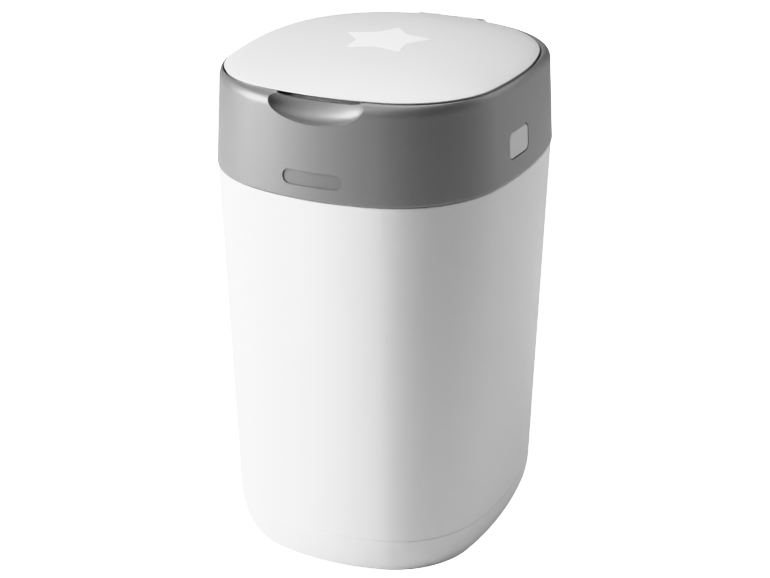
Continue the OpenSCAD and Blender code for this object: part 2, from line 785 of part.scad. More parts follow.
module lid_shell() {
    color(lid_grey) difference() {
        union() {
            lid_skin();
            intersection() {
                lid_core();
                lid_bosses(boss_r, liner_low + liner_t, crown_top);
            }
            for (s = [-1, 1]) {
                x0 = s > 0 ? lid_arm_in : -lid_arm_out;
                x1 = s > 0 ? lid_arm_out : -lid_arm_in;
                box([x0, lid_half_back - lid_wall - 1, lid_axis_z - lid_knuckle_r],
                    [x1, lid_axis_y, lid_axis_z + lid_pin_r]);
                rod_x(x0, x1, lid_axis_y, lid_axis_z, lid_knuckle_r);
            }
        }
        box([-notch_half, -lid_half_front - 1, lid_skirt_low - 1],
            [notch_half, liner_in - lid_half_front, notch_top]);
        translate([star_at.x, star_at.y, star_low]) linear_extrude(height = 10) star_plate(star_r, 0.15);
        lid_bosses(screw_r + pin_fit, liner_low, liner_low + liner_t + screw_len);
        rod_x(-lid_hinge_half, lid_hinge_half, lid_axis_y, lid_axis_z, lid_pin_r + pin_fit);
    }
}

module star_inlay() {
    color("white") translate([star_at.x, star_at.y, star_low]) linear_extrude(height = 1.2)
        star_plate(star_r, 0);
}

module lid_liner() {
    color("#e6e7e7") difference() {
        plate(lid_outline(liner_in), liner_low, liner_t);
        lid_bosses(screw_r + 0.2, liner_low - 1, liner_low + liner_t + 1);
    }
}

module liner_screws() {
    color(steel) for (x = [-boss_x, boss_x], y = [-boss_y, boss_y])
        translate([x, y + lid_mid_y, 0]) difference() {
            union() {
                translate([0, 0, liner_low - 0.5]) cylinder(r = screw_r, h = liner_t + screw_len);
                translate([0, 0, liner_low - 1.6]) cylinder(r = screw_head_r, h = 1.6);
            }
            for (q = [0, 90]) translate([0, 0, liner_low - 1.4]) rotate([0, 0, q])
                cube([slot_len, slot_w, 1.2], center = true);
        }
}

module lid_seal() {
    color("#6d6f72") difference() {
        plate(lid_outline(liner_in), deck_top + 3.4 + soft_gap, liner_low - deck_top - 3.7);
        plate(lid_outline(ledge_in + 4), deck_top, liner_low);
    }
}

// ---- release buttons ----

module button() {
    nose_x = keeper_x - nose_gap;
    color(button_grey) intersection() {
        union() {
            translate([0, button_y, button_z])
                rounded_block(button_w, button_h, 5.5, button_inner_x - 0.5, half_w + 2);
            translate([0, button_y, button_z])
                rounded_block(button_w + 2 * flange_over, button_h + 2 * flange_over, 7,
                    button_inner_x - button_flange_t, button_inner_x);
            box([stem_end_x, button_y - stem_half_y, button_z - stem_down],
                [button_inner_x - 1, button_y + stem_half_y, button_z + stem_up]);
            box([leg_x, button_y - leg_half_y, leg_low],
                [leg_x + leg_t, button_y + leg_half_y, button_z - stem_down + 1]);
            box([leg_x, button_y - leg_half_y, leg_low],
                [nose_x, button_y + leg_half_y, tub_h - 3.3]);
        }
        union() {
            collar_core(0);
            box([0, button_y - keeper_half_y, leg_low - 1],
                [keeper_x + 1, button_y + keeper_half_y, tub_h + 5]);
        }
    }
}

module button_right() { button(); }
module button_left() { mirror([1, 0, 0]) button(); }

module button_coil() {
    translate([seat_x, button_y, button_z + 3]) rotate([0, 90, 0])
        coil(3.2, 0.8, stem_end_x - seat_x);
}

module button_spring_right() { color(steel) button_coil(); }
module button_spring_left() { color(steel) mirror([1, 0, 0]) button_coil(); }

tub_shell();
head_hinge_pin();
collar_shell();
head_deck();
deck_screws();
click_spring();
cassette_body();
cassette_cap();
film_pack();
lid_hinge_pin();
twist_ring();
petal_pins();
petal_springs();
petal_right();
petal_back();
petal_left();
petal_front();
cutter_slider();
cutter_blade();
cutter_spring();
lid_shell();
lid_liner();
liner_screws();
lid_seal();
star_inlay();
button_right();
button_left();
button_spring_right();
button_spring_left();
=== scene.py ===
import json
from math import acos, atan2, cos, pi, radians, sin, tan

import bmesh
import bpy
import numpy as np
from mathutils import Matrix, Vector

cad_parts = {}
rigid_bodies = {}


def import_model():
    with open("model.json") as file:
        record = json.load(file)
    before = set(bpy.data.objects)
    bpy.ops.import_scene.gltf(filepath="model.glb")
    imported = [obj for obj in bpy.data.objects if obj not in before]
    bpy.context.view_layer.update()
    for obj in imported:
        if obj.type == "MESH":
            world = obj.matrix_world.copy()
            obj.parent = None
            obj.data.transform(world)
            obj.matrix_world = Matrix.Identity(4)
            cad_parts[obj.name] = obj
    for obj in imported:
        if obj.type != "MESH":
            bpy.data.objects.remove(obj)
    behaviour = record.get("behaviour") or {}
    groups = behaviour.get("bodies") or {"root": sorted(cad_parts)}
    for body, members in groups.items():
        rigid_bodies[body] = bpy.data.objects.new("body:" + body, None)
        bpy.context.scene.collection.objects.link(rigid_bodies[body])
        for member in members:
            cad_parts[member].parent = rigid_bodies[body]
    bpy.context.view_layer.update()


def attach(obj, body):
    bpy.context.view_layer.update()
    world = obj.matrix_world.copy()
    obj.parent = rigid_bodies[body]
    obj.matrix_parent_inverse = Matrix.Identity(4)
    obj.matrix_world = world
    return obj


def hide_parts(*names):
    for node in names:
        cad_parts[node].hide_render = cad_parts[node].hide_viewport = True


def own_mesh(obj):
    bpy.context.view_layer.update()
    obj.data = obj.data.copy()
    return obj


for thing in list(bpy.data.objects):
    bpy.data.objects.remove(thing)
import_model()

mm = 0.001
# the camera stands away mm from a point at height aimZ, slideX to the side of the axis
view = {"turn": 24.25, "rise": 22.92, "away": 1661.13, "lens": 90.9, "slideX": -2.2, "aimZ": 202.5}


def direction(turn, rise):
    turn, rise = radians(turn), radians(rise)
    return Vector((sin(turn) * cos(rise), -cos(turn) * cos(rise), sin(rise)))


def aimed(name, data, place, out):
    # a lamp or camera at a place, looking back along out
    obj = bpy.data.objects.new(name, data)
    bpy.context.scene.collection.objects.link(obj)
    obj.location, obj.rotation_mode = place, "QUATERNION"
    obj.rotation_quaternion = (-out).to_track_quat("-Z", "Y")
    return obj


def placeCamera():
    turn, out = radians(view["turn"]), direction(view["turn"], view["rise"])
    aim = Vector((0, 0, view["aimZ"])) + Vector((cos(turn), sin(turn), 0)) * view["slideX"]
    data = bpy.data.cameras.new("studioCamera")
    data.lens, data.sensor_width = view["lens"], 36
    data.clip_start, data.clip_end = 0.05, 60
    bpy.context.scene.camera = aimed("studioCamera", data, (aim + out * view["away"]) * mm, out)


# each softbox: turn and rise as seen from height lampAimZ, distance and size, power in W; lengths in m
lampAimZ = 0.22
lamps = {
    "windowLeft": (-56.6, 22, 2.0, (1.0, 1.5), 54.6),
    "stripLeft": (-41.6, 12, 1.8, (0.8, 2.2), 9.1),
    "highLeft": (-36.6, 55, 2.0, (1.3, 1.3), 10.5),
    "rearTop": (193.4, 55, 2.0, (1.3, 1.3), 15.0),
    "sideRight": (128.4, 22, 2.0, (1.0, 1.5), 13.0),
    "overhead": (23.4, 89, 2.0, (1.5, 1.5), 8.0),
}
# film response: straight up to 0.7, then a soft shoulder that reaches white at 1.8
response = {"white": 1.8, "straight": (0.15, 0.3, 0.45, 0.6, 0.7), "glow": 1.25,
            "shoulder": ((0.8, 0.775), (1.0, 0.87), (1.2, 0.91), (1.4, 0.93), (1.6, 0.95), (1.72, 0.97))}


def softbox(name):
    turn, rise, away, size, power = lamps[name]
    out = direction(turn, rise)
    data = bpy.data.lights.new(name, "AREA")
    data.shape, data.energy = "RECTANGLE", power
    data.size, data.size_y = size
    aimed(name, data, Vector((0, 0, lampAimZ)) + out * away, out)


def plug(tree, node, inlets):
    # each inlet takes a constant or another node's outlet
    for inlet, value in inlets.items():
        if isinstance(value, bpy.types.NodeSocket):
            tree.links.new(value, node.inputs[inlet])
        elif value is not None:
            node.inputs[inlet].default_value = value
    return node


def add(tree, kind, inlets=None, **settings):
    node = tree.nodes.new(kind)
    for key, value in settings.items():
        setattr(node, key, value)
    return plug(tree, node, inlets or {})


def mathNode(tree, operation, *terms):
    return add(tree, "ShaderNodeMath", dict(enumerate(terms)), operation=operation).outputs["Value"]


def backdropGlow(tree):
    # white behind the bin, without light of its own on it
    rays = add(tree, "ShaderNodeLightPath").outputs["Is Camera Ray"]
    return mathNode(tree, "MULTIPLY", rays, response["white"] * response["glow"])


def studio():
    for name in lamps:
        softbox(name)
    world = bpy.data.worlds.new("studioAir")
    world.use_nodes = True
    tree = world.node_tree
    plug(tree, tree.nodes["Background"], {"Color": (1, 1, 1, 1), "Strength": backdropGlow(tree)})
    bpy.context.scene.world = world
    film = bpy.context.scene.view_settings
    film.view_transform, film.look, film.use_curve_mapping = "Standard", "None", True
    curve = film.curve_mapping
    curve.white_level, curve.extend = [response["white"]] * 3, "EXTRAPOLATED"
    for x, y in [(x, x) for x in response["straight"]] + list(response["shoulder"]):
        curve.curves[3].points.new(x / response["white"], y)
    curve.update()


def noise(tree, place, scale, detail=2.0, rough=0.5):
    inlets = {"Vector": place, "Scale": scale, "Detail": detail, "Roughness": rough}
    return add(tree, "ShaderNodeTexNoise", inlets).outputs["Fac"]


def span(tree, source, low, high, start=0.3, end=0.7):
    inlets = {"Value": source, "From Min": start, "From Max": end, "To Min": low, "To Max": high}
    return add(tree, "ShaderNodeMapRange", inlets).outputs["Result"]


def mixed(tree, share, a, b):
    return add(tree, "ShaderNodeMix", {"Factor": share, "A": a, "B": b}, data_type="RGBA").outputs["Result"]


def bumped(tree, height, strength, distance, under=None):
    inlets = {"Height": height, "Strength": strength, "Distance": distance, "Normal": under}
    return add(tree, "ShaderNodeBump", inlets).outputs["Normal"]


def scaled(color, factor, lift=0.0):
    return (*[min(1, c * factor + lift) for c in color], 1)


def nodesOf(name):
    mat = bpy.data.materials.new(name)
    mat.use_nodes = True
    tree = mat.node_tree
    return mat, tree, tree.nodes["Principled BSDF"], add(tree, "ShaderNodeTexCoord").outputs["Object"]


def mouldedPlastic(name, color, rough, grain, drift, gloss=0.5, dust=0.03, coat=0.0):
    # spark-eroded grain over a slow moulding wave; cloudy tone, paler edges, dust on what faces up
    mat, tree, bsdf, place = nodesOf(name)
    shape = add(tree, "ShaderNodeNewGeometry").outputs
    cloud, wave = noise(tree, place, 7, 4), noise(tree, place, 22, 2, 0.4)
    fine, speckle = noise(tree, place, 2400, 2, 0.6), noise(tree, place, 900, 5, 0.75)
    tone = mixed(tree, span(tree, cloud, 0, 1), scaled(color, 1 - drift), scaled(color, 1 + drift * 0.5))
    worn = mixed(tree, span(tree, shape["Pointiness"], 0, 0.06, 0.52, 0.62), tone, scaled(color, 1.25, 0.05))
    facing = add(tree, "ShaderNodeSeparateXYZ", {"Vector": shape["Normal"]}).outputs["Z"]
    settled = mathNode(tree, "MULTIPLY", span(tree, facing, 0, dust, 0.6, 1.0),
                       span(tree, speckle, 0.3, 1, 0.35, 0.75))
    plug(tree, bsdf, {
        "Base Color": mixed(tree, settled, worn, (0.61, 0.61, 0.605, 1)),
        "Roughness": mathNode(tree, "ADD", span(tree, cloud, rough - 0.03, rough + 0.04), settled),
        "Normal": bumped(tree, wave, 0.10, 0.0005, bumped(tree, fine, 0.09 * grain, 0.0002)),
        "Specular IOR Level": gloss, "Coat Weight": coat, "Coat Roughness": 0.44})
    return mat


def brushedSteel(name, color=(0.62, 0.63, 0.65), rough=0.28):
    mat, tree, bsdf, place = nodesOf(name)
    cloud = noise(tree, place, 60, 5, 0.6)
    lines = add(tree, "ShaderNodeMapping", {"Vector": place, "Scale": (120, 2600, 2600)}).outputs["Vector"]
    streak = noise(tree, lines, 1.0)
    plug(tree, bsdf, {
        "Base Color": mixed(tree, span(tree, cloud, 0, 1), scaled(color, 0.8), scaled(color, 1)),
        "Roughness": span(tree, streak, rough - 0.08, rough + 0.14),
        "Normal": bumped(tree, streak, 0.12, 0.0001), "Metallic": 1.0})
    return mat


def creasedFilm():
    mat, tree, bsdf, place = nodesOf("creasedFilm")
    crumple = noise(tree, place, 210, 6, 0.7)
    plug(tree, bsdf, {
        "Base Color": mixed(tree, span(tree, crumple, 0, 1), (0.50, 0.62, 0.70, 1), (0.80, 0.87, 0.91, 1)),
        "Roughness": span(tree, crumple, 0.12, 0.42), "Normal": bumped(tree, crumple, 0.5, 0.0008),
        "Subsurface Weight": 0.15, "Subsurface Radius": (0.002, 0.002, 0.002)})
    return mat


def softRubber():
    mat, tree, bsdf, place = nodesOf("sealRubber")
    dust = noise(tree, place, 480, 6, 0.65)
    plug(tree, bsdf, {
        "Base Color": mixed(tree, span(tree, dust, 0, 1), (0.10, 0.10, 0.105, 1), (0.19, 0.19, 0.195, 1)),
        "Roughness": span(tree, dust, 0.6, 0.85), "Normal": bumped(tree, dust, 0.25, 0.0002)})
    return mat


def paleFloor():
    mat, tree, bsdf, place = nodesOf("floorPale")
    plug(tree, bsdf, {
        "Base Color": mixed(tree, noise(tree, place, 1.2), (0.90, 0.90, 0.90, 1), (0.93, 0.93, 0.93, 1)),
        "Roughness": 0.9, "Specular IOR Level": 0.1,
        "Emission Color": (1, 1, 1, 1), "Emission Strength": backdropGlow(tree)})
    return mat


finish = {
    "tub": mouldedPlastic("tubWhite", (0.745, 0.745, 0.745), 0.36, 0.5, 0.01, dust=0.0),
    "collar": mouldedPlastic("collarGrey", (0.145, 0.145, 0.146), 0.45, 1.2, 0.02, gloss=1.0, coat=0.45),
    "lid": mouldedPlastic("lidPale", (0.69, 0.69, 0.691), 0.35, 0.6, 0.01, dust=0.02),
    "star": mouldedPlastic("starWhite", (0.96, 0.96, 0.96), 0.28, 0.3, 0.008, dust=0.0),
    "button": mouldedPlastic("buttonGrey", (0.60, 0.60, 0.601), 0.38, 0.8, 0.02),
    "ring": mouldedPlastic("ringPale", (0.62, 0.63, 0.64), 0.36, 0.7, 0.02),
    "petal": mouldedPlastic("petalGrey", (0.48, 0.50, 0.515), 0.40, 0.8, 0.03),
    "deck": mouldedPlastic("deckGrey", (0.34, 0.35, 0.36), 0.48, 1.6, 0.04, dust=0.06),
    "cassette": mouldedPlastic("cassetteBlue", (0.27, 0.40, 0.50), 0.36, 0.8, 0.03),
    "cap": mouldedPlastic("capWhite", (0.84, 0.85, 0.86), 0.36, 0.5, 0.015),
    "liner": mouldedPlastic("linerPale", (0.74, 0.745, 0.75), 0.45, 1.0, 0.02),
    "cutter": mouldedPlastic("cutterRed", (0.50, 0.055, 0.045), 0.34, 0.8, 0.05),
    "steel": brushedSteel("brushedSteel"),
    "blade": brushedSteel("groundBlade", (0.72, 0.73, 0.75), 0.18),
    "film": creasedFilm(),
    "seal": softRubber(),
    "floor": paleFloor(),
}
print("finishes:", len(finish))

# the plan of tub and collar, the lid's own plan, and the heights that several pieces share
plan = {"halfW": 126.0, "front": 144.0, "back": 144.0, "frontR": 96.0, "backR": 96.0,
        "bow": 3.5, "points": 480}
lidPlan = {"halfW": 118.5, "front": 127.6, "back": 129.5, "frontR": 78.0, "backR": 99.0}
level = {"crease": 34.0, "tub": 331.0, "ledge": 389.0, "deckLow": 392.0, "deck": 395.0,
         "shoulder": 400.0, "skirt": 402.0, "lip": 409.4, "seam": 411.0}
lidMidY = (lidPlan["back"] - lidPlan["front"]) / 2


def planQuarter(a, b, r, s, inset, q):
    # half width a, half depth b, corner radius r; the sides bow out by s
    cx, cy = a - r - s, b - r - s
    ra = ((r + s) ** 2 + cy ** 2 - r ** 2) / (2 * s)
    rb = ((r + s) ** 2 + cx ** 2 - r ** 2) / (2 * s)
    qa, qb = atan2(cy, cx - a + ra), atan2(cy - b + rb, cx)
    x = np.where(q < qa, a - ra + (ra - inset) * np.cos(q), cx + (r - inset) * np.cos(q))
    y = np.where(q < qa, (ra - inset) * np.sin(q), cy + (r - inset) * np.sin(q))
    x = np.where(q > qb, (rb - inset) * np.cos(q), x)
    y = np.where(q > qb, b - rb + (rb - inset) * np.sin(q), y)
    return x, y


def angles(n):
    return (np.arange(n) + 0.5) * 2 * pi / n


def atZ(loop, z):
    return np.column_stack([loop, np.full(len(loop), z)])


def planRing(p, inset, z):
    q = angles(plan["points"])
    fold = q % pi
    fold = np.where(fold > pi / 2, pi - fold, fold)
    xb, yb = planQuarter(p["halfW"], p["back"], p["backR"], plan["bow"], inset, fold)
    xf, yf = planQuarter(p["halfW"], p["front"], p["frontR"], plan["bow"], inset, fold)
    isBack, isRight = q < pi, (q < pi / 2) | (q > 1.5 * pi)
    x, y = np.where(isBack, xb, xf), np.where(isBack, yb, -yf)
    return atZ(np.column_stack([np.where(isRight, x, -x), y]), z)


def bodyRing(inset, z):
    return planRing(plan, inset, z)


def lidRing(inset, z):
    return planRing(lidPlan, inset, z)


def roundRing(radius, z, n=plan["points"]):
    q = angles(n)
    return atZ(np.column_stack([radius * np.cos(q), radius * np.sin(q)]), z)


def squareRing(half, z):
    q = angles(plan["points"])
    far = half / np.maximum(np.abs(np.cos(q)), np.abs(np.sin(q)))
    return atZ(np.column_stack([far * np.cos(q), far * np.sin(q)]), z)


def softProfile(corners, loop=False, steps=4):
    # corners are (x, z, radius); each is rounded between its two neighbours
    pts, n = [], len(corners)
    for k, (x, z, r) in enumerate(corners):
        here = np.array([x, z], float)
        a = np.array(corners[k - 1][:2], float) - here
        b = np.array(corners[(k + 1) % n][:2], float) - here
        la, lb = max(np.linalg.norm(a), 1e-9), max(np.linalg.norm(b), 1e-9)
        a, b = a / la, b / lb
        half = acos(max(-1, min(1, float(a @ b)))) / 2
        atEnd, isPlain = not loop and k in (0, n - 1), half < 0.02 or abs(half - pi / 2) < 0.02
        if r <= 0 or atEnd or isPlain or min(la, lb) < 1e-6:
            pts.append(here)
            continue
        t = min(r / tan(half), 0.48 * la, 0.48 * lb)
        radius = t * tan(half)
        centre = here + (a + b) / np.linalg.norm(a + b) * (radius / sin(half))
        p0, p1 = here + a * t - centre, here + b * t - centre
        for w in np.arange(steps + 1) / steps:
            d = p0 * (1 - w) + p1 * w
            pts.append(centre + d / np.linalg.norm(d) * radius)
    return pts


def skin(rings, loop=False):
    # faces between rings of equal length; an open run is closed at both ends
    n, m = len(rings[0]), len(rings)
    faces = []
    for j in range(m if loop else m - 1):
        u = (j + 1) % m
        for i in range(n):
            k = (i + 1) % n
            faces.append((j * n + i, j * n + k, u * n + k, u * n + i))
    if not loop:
        faces.append(tuple(range(n - 1, -1, -1)))
        faces.append(tuple((m - 1) * n + i for i in range(n)))
    return np.vstack(rings), faces


def turned(corners, loop, n, steps=4):
    return skin([roundRing(max(x, 0.01), z, n) for x, z in softProfile(corners, loop, steps)], loop)


def tube(bore, radius, z0, z1, softIn, softOut, n, steps=4):
    corners = [(bore, z0, softIn), (radius, z0, softOut), (radius, z1, softOut), (bore, z1, softIn)]
    return turned(corners, True, n, steps)


def rod(radius, z0, z1, soft, n):
    s = min(soft, radius * 0.6)
    return turned([(0.01, z0, 0), (radius, z0, s), (radius, z1, s), (0.01, z1, 0)], False, n, 3)


def alongX(part, y=0.0, z=0.0):
    v = part[0]
    return np.column_stack([v[:, 2], v[:, 0] + y, v[:, 1] + z]), part[1]


def alongYTube(x, z, y0, y1, bore, radius):
    v, faces = tube(bore, radius, y0, y1, 0.1, 0.35, 40, 3)
    return np.column_stack([v[:, 0] + x, v[:, 2], v[:, 1] + z]), faces


def onAxis(part, hinge):
    # from the Z axis onto a hinge's axis, or onto a button's
    return alongX(part, hinge["y"], hinge["z"])


def knuckle(hinge, x0, x1, softIn, softOut, n):
    return onAxis(tube(hinge["pin"] + hinge["fit"], hinge["knuckle"], x0, x1, softIn, softOut, n), hinge)


def moved(part, x, y=0.0):
    return part[0] + (x, y, 0), part[1]


def onSpots(part, spots):
    return [moved(part, x, y) for x, y, _ in spots]


def spun(part, degrees):
    c, s = cos(radians(degrees)), sin(radians(degrees))
    v = part[0]
    return np.column_stack([v[:, 0] * c - v[:, 1] * s, v[:, 0] * s + v[:, 1] * c, v[:, 2]]), part[1]


def flippedX(part):
    return part[0] * (-1, 1, 1), [tuple(reversed(f)) for f in part[1]]


def roundedLoop(points, r, steps):
    return np.array(softProfile([(x, y, r) for x, y in points], True, steps))


def boxLoop(x0, y0, x1, y1, r, steps):
    # a rectangle with its corners rounded by r
    return roundedLoop([(x0, y0), (x1, y0), (x1, y1), (x0, y1)], r, steps)


def pulledIn(loop, d):
    # an outline moved inward by d
    nxt, prv = np.roll(loop, -1, 0), np.roll(loop, 1, 0)
    e1, e2 = loop - prv, nxt - loop
    e1 /= np.linalg.norm(e1, axis=1)[:, None] + 1e-12
    e2 /= np.linalg.norm(e2, axis=1)[:, None] + 1e-12
    n1, n2 = np.column_stack([e1[:, 1], -e1[:, 0]]), np.column_stack([e2[:, 1], -e2[:, 0]])
    k = np.maximum(1 + (n1 * n2).sum(1), 0.5)[:, None]
    return loop - d * (n1 + n2) / k


def prism(loop, z0, z1, soft, steps=3):
    # an outline raised from z0 to z1 with both rims eased
    loop, bend = np.asarray(loop, float), np.linspace(0, pi / 2, steps + 1)
    runs = [(soft * (1 - sin(t)), z0 + soft * (1 - cos(t))) for t in bend]
    runs += [(soft * (1 - cos(t)), z1 - soft * (1 - sin(t))) for t in bend]
    return skin([atZ(pulledIn(loop, d), z) for d, z in runs])


def frontPrism(loop, y, deep, z):
    # an outline of x and height, pushed back from y
    v, faces = prism(loop, 0, deep, 0.01, 1)
    return np.column_stack([v[:, 0], y + v[:, 2], z + v[:, 1]]), [tuple(reversed(f)) for f in faces]


def block(low, high, soft=0.3):
    (x0, y0, z0), (x1, y1, z1) = low, high
    soft = min(soft, 0.45 * min(x1 - x0, y1 - y0, z1 - z0))
    return prism(boxLoop(x0, y0, x1, y1, soft * 1.2, 3), z0, z1, soft)


def eased(rings, radii):
    # each ring of a closed run is rounded towards its two neighbours
    out, n = [], len(rings)
    for k, (ring, r) in enumerate(zip(rings, radii)):
        ways = []
        for other in (rings[k - 1], rings[(k + 1) % n]):
            d = other - ring
            size = np.linalg.norm(d, axis=1)[:, None] + 1e-9
            ways.append(d / size * np.minimum(r, 0.42 * size))
        out += [ring + ways[0] * (1 - w) ** 2 + ways[1] * w ** 2 for w in np.arange(4) / 3]
    return out


def cleaned(mesh, extra=None, merge=0.0, flat=0.0, outward=False):
    bm = bmesh.new()
    bm.from_mesh(mesh)
    if extra:
        bm.from_mesh(extra)
    if merge:
        bmesh.ops.remove_doubles(bm, verts=bm.verts, dist=merge)
    if flat:
        bmesh.ops.dissolve_degenerate(bm, edges=bm.edges, dist=flat)
    if outward:
        bmesh.ops.recalc_face_normals(bm, faces=bm.faces)
    bm.to_mesh(mesh)
    bm.free()


def easeShading(obj, sharp=32):
    obj.data.shade_smooth()
    obj.data.set_sharp_from_angle(angle=radians(sharp))


def makePiece(name, parts, look=None):
    # parts are (vertices in mm, faces); they become one mesh in m
    verts, faces, base = [], [], 0
    for v, f in parts:
        verts.append(np.asarray(v, float))
        faces += [tuple(i + base for i in face) for face in f]
        base += len(v)
    mesh = bpy.data.meshes.new(name)
    mesh.from_pydata((np.vstack(verts) * mm).tolist(), [], faces)
    cleaned(mesh, merge=1e-7, outward=True)
    obj = bpy.data.objects.new(name, mesh)
    bpy.context.scene.collection.objects.link(obj)
    if look:
        mesh.materials.append(finish[look])
    easeShading(obj)
    return obj


def baked(obj):
    # the modifiers' result becomes the object's own mesh
    bpy.context.view_layer.update()
    graph = bpy.context.evaluated_depsgraph_get()
    mesh = bpy.data.meshes.new_from_object(obj.evaluated_get(graph))
    obj.modifiers.clear()
    old, name = obj.data, obj.data.name
    obj.data = mesh
    bpy.data.meshes.remove(old)
    mesh.name = name


def combined(obj, other, how="DIFFERENCE"):
    # the other object is used up
    cut = obj.modifiers.new("cut", "BOOLEAN")
    cut.operation, cut.solver, cut.object = how, "EXACT", other
    baked(obj)
    bpy.data.objects.remove(other)


def carve(obj, parts, how="DIFFERENCE"):
    # all the parts together are one cutting tool
    combined(obj, makePiece("tool", parts), how)
    cleaned(obj.data, merge=2e-6, flat=1e-6)
    easeShading(obj)


def joined(obj, other):
    # the other object is added as it is, and used up
    cleaned(obj.data, extra=other.data)
    bpy.data.objects.remove(other)
    easeShading(obj)


def fit(obj, body, node):
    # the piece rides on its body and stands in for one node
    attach(obj, body)
    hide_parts(node)
    return obj


tub = {"wall": 2.6, "topIn": 0.8, "creaseIn": 11.3, "footIn": 11.0, "footSlope": 0.32, "footPower": 2.8,
       "groove": 0.4, "rimIn": 3.4, "rimTop": 338.0, "keeperX": 118.9, "keeperT": 2.4}
headHinge = {"y": 150.1, "z": 331.0, "pin": 2.5, "knuckle": 5.5, "half": 30.0, "ear": 46.0, "fit": 0.05}
button = {"y": -21.5, "z": 359.0, "w": 36.0, "h": 22.0, "gap": 0.5, "inner": 118.1, "seatX": 96.5,
          "stemEnd": 105.5, "legX": 111.4, "travel": 3.5, "coilR": 3.2, "wire": 0.8, "coilZ": 3.0,
          "corner": 5.5, "holeCorner": 6.0, "edge": 1.5, "sunk": 0.04}


def tubInset(z):
    down = (level["tub"] - z) / (level["tub"] - level["crease"])
    return tub["topIn"] + (tub["creaseIn"] - tub["topIn"]) * down


def footInset(z):
    low, slope = 1 - z / level["crease"], tub["footSlope"]
    return tub["creaseIn"] + tub["footIn"] * (slope * low + (1 - slope) * low ** tub["footPower"])


def buildTub():
    w, g, h, c = tub["wall"], tub["groove"], headHinge, level["crease"]
    rimIn, rimTop = tub["rimIn"], tub["rimTop"]
    profile = [(60, 0, 0), (footInset(0) + 1.4, 0, 0), (footInset(0) + 0.4, 0.15, 0),
               (footInset(0.6) + 0.02, 0.7, 0)]
    profile += [(footInset(t * c), t * c, 0)
                for t in (0.05, 0.1, 0.16, 0.23, 0.31, 0.4, 0.5, 0.61, 0.73, 0.86)]
    profile += [(footInset(c - 1) - 0.02, c - 1, 0.4), (tubInset(c - 0.5) + g, c - 0.3, 0.2),
                (tubInset(c + 0.2) + g, c + 0.2, 0.2), (tubInset(c + 0.8), c + 0.9, 0.5)]
    profile += [(tubInset(z), z, 0) for z in (60, 110, 170, 230, 290, 328)]
    profile += [(tubInset(330.6), 330.6, 0.9), (rimIn, 330.6, 0.5), (rimIn, rimTop, 0.9),
                (rimIn + w, rimTop, 0.9), (rimIn + w, 323, 2), (tubInset(317) + w, 317, 2),
                (tub["creaseIn"] + w, c + 1, 4)]
    profile += [(footInset(t * c) + w, t * c + w, 0) for t in (0.61, 0.4, 0.23)]
    profile += [(footInset(2.6) + w + 3, 3.6, 3), (60, 3.6, 0), (100, 3.6, 0)]
    obj = makePiece("tubBody", [skin([bodyRing(i, z) for i, z in softProfile(profile)])], "tub")
    bracket = softProfile([(h["y"] + 3.6, 326.9, 0.3), (h["y"] - 6, 319.6, 1.5), (139.5, 319.6, 0.3),
                           (139.5, 330.5, 0.3), (h["y"] - 2, 330.5, 0.3)], True)
    arm = makePiece("tubArm", [alongX(prism(bracket, 0.4 - h["half"], h["half"] - 0.4, 0.5))], "tub")
    carve(arm, [onAxis(rod(h["pin"] + h["fit"], -h["half"] - 2, h["half"] + 2, 0.1, 72), h)])
    x, t = tub["keeperX"], tub["keeperT"]
    keepers = [block((s * x - t, button["y"] - 9, 328), (s * x + t, button["y"] + 9, 332), 0.5)
               for s in (-1, 1)]
    joined(obj, makePiece("tubExtra", [knuckle(h, -h["half"], h["half"], 0.2, 0.7, 72)] + keepers, "tub"))
    joined(obj, arm)
    return fit(obj, "tub", "tub_shell")


collar = {"draft": 3.7, "wall": 2.4, "gap": 1.25, "room": 0.8, "ledgeIn": 6.0}
scoop = {"w": 80.0, "low": 15.2, "z": 406.0, "y": -133.8, "out": 12.0, "round": 9.5, "back": 2.4,
         "notch": 37.5, "top": 409.4, "slot": 35.5, "slotRise": 4.2, "slotY": -130.5, "slotDeep": 12.0}
# the badge recess floor takes painted shade and extra roughness
badge = {"w": 51.0, "h": 12.0, "z": 348.0, "frontY": -120.0, "depth": 1.2, "paintedShade": 0.2, "rougher": 0.16}
lidHinge = {"y": 136.8, "z": 407.0, "pin": 1.2, "fit": 0.05, "knuckle": 2.2, "flat": 408.4, "half": 30.0,
            "armIn": 10.0, "armOut": 24.0}


def badgeField(mat):
    # the floor of the badge recess is rougher than the wall about it, and darker with painted shade in the
    # recess
    tree = mat.node_tree
    bsdf = tree.nodes["Principled BSDF"]
    place = add(tree, "ShaderNodeTexCoord").outputs["Object"]
    axes = add(tree, "ShaderNodeSeparateXYZ", {"Vector": place}).outputs
    half, r = (badge["w"] - badge["h"]) / 2 * mm, badge["h"] / 2 * mm
    side = mathNode(tree, "SUBTRACT", mathNode(tree, "ABSOLUTE", axes["X"]), half)
    along, up = mathNode(tree, "MAXIMUM", side, 0.0), mathNode(tree, "SUBTRACT", axes["Z"], badge["z"] * mm)
    squares = mathNode(tree, "ADD", mathNode(tree, "MULTIPLY", along, along),
                       mathNode(tree, "MULTIPLY", up, up))
    inside = mathNode(tree, "LESS_THAN", mathNode(tree, "SQRT", squares), r - 0.05 * mm)
    before = mathNode(tree, "LESS_THAN", axes["Y"], badge["frontY"] * mm)
    field = mathNode(tree, "MULTIPLY", inside, before)
    tone, rough = (bsdf.inputs[inlet].links[0].from_socket for inlet in ("Base Color", "Roughness"))
    # the recess floor's tone is pulled towards black, which is painted shade; its roughness is raised for its
    # own finish
    plug(tree, bsdf, {
        "Base Color": mixed(tree, mathNode(tree, "MULTIPLY", field, badge["paintedShade"]), tone, (0, 0, 0, 1)),
        "Roughness": mathNode(tree, "ADD", rough, mathNode(tree, "MULTIPLY", field, badge["rougher"]))})


badgeField(finish["collar"])


def draftIn(z):
    return collar["draft"] * (z - level["tub"]) / (level["shoulder"] - level["tub"])


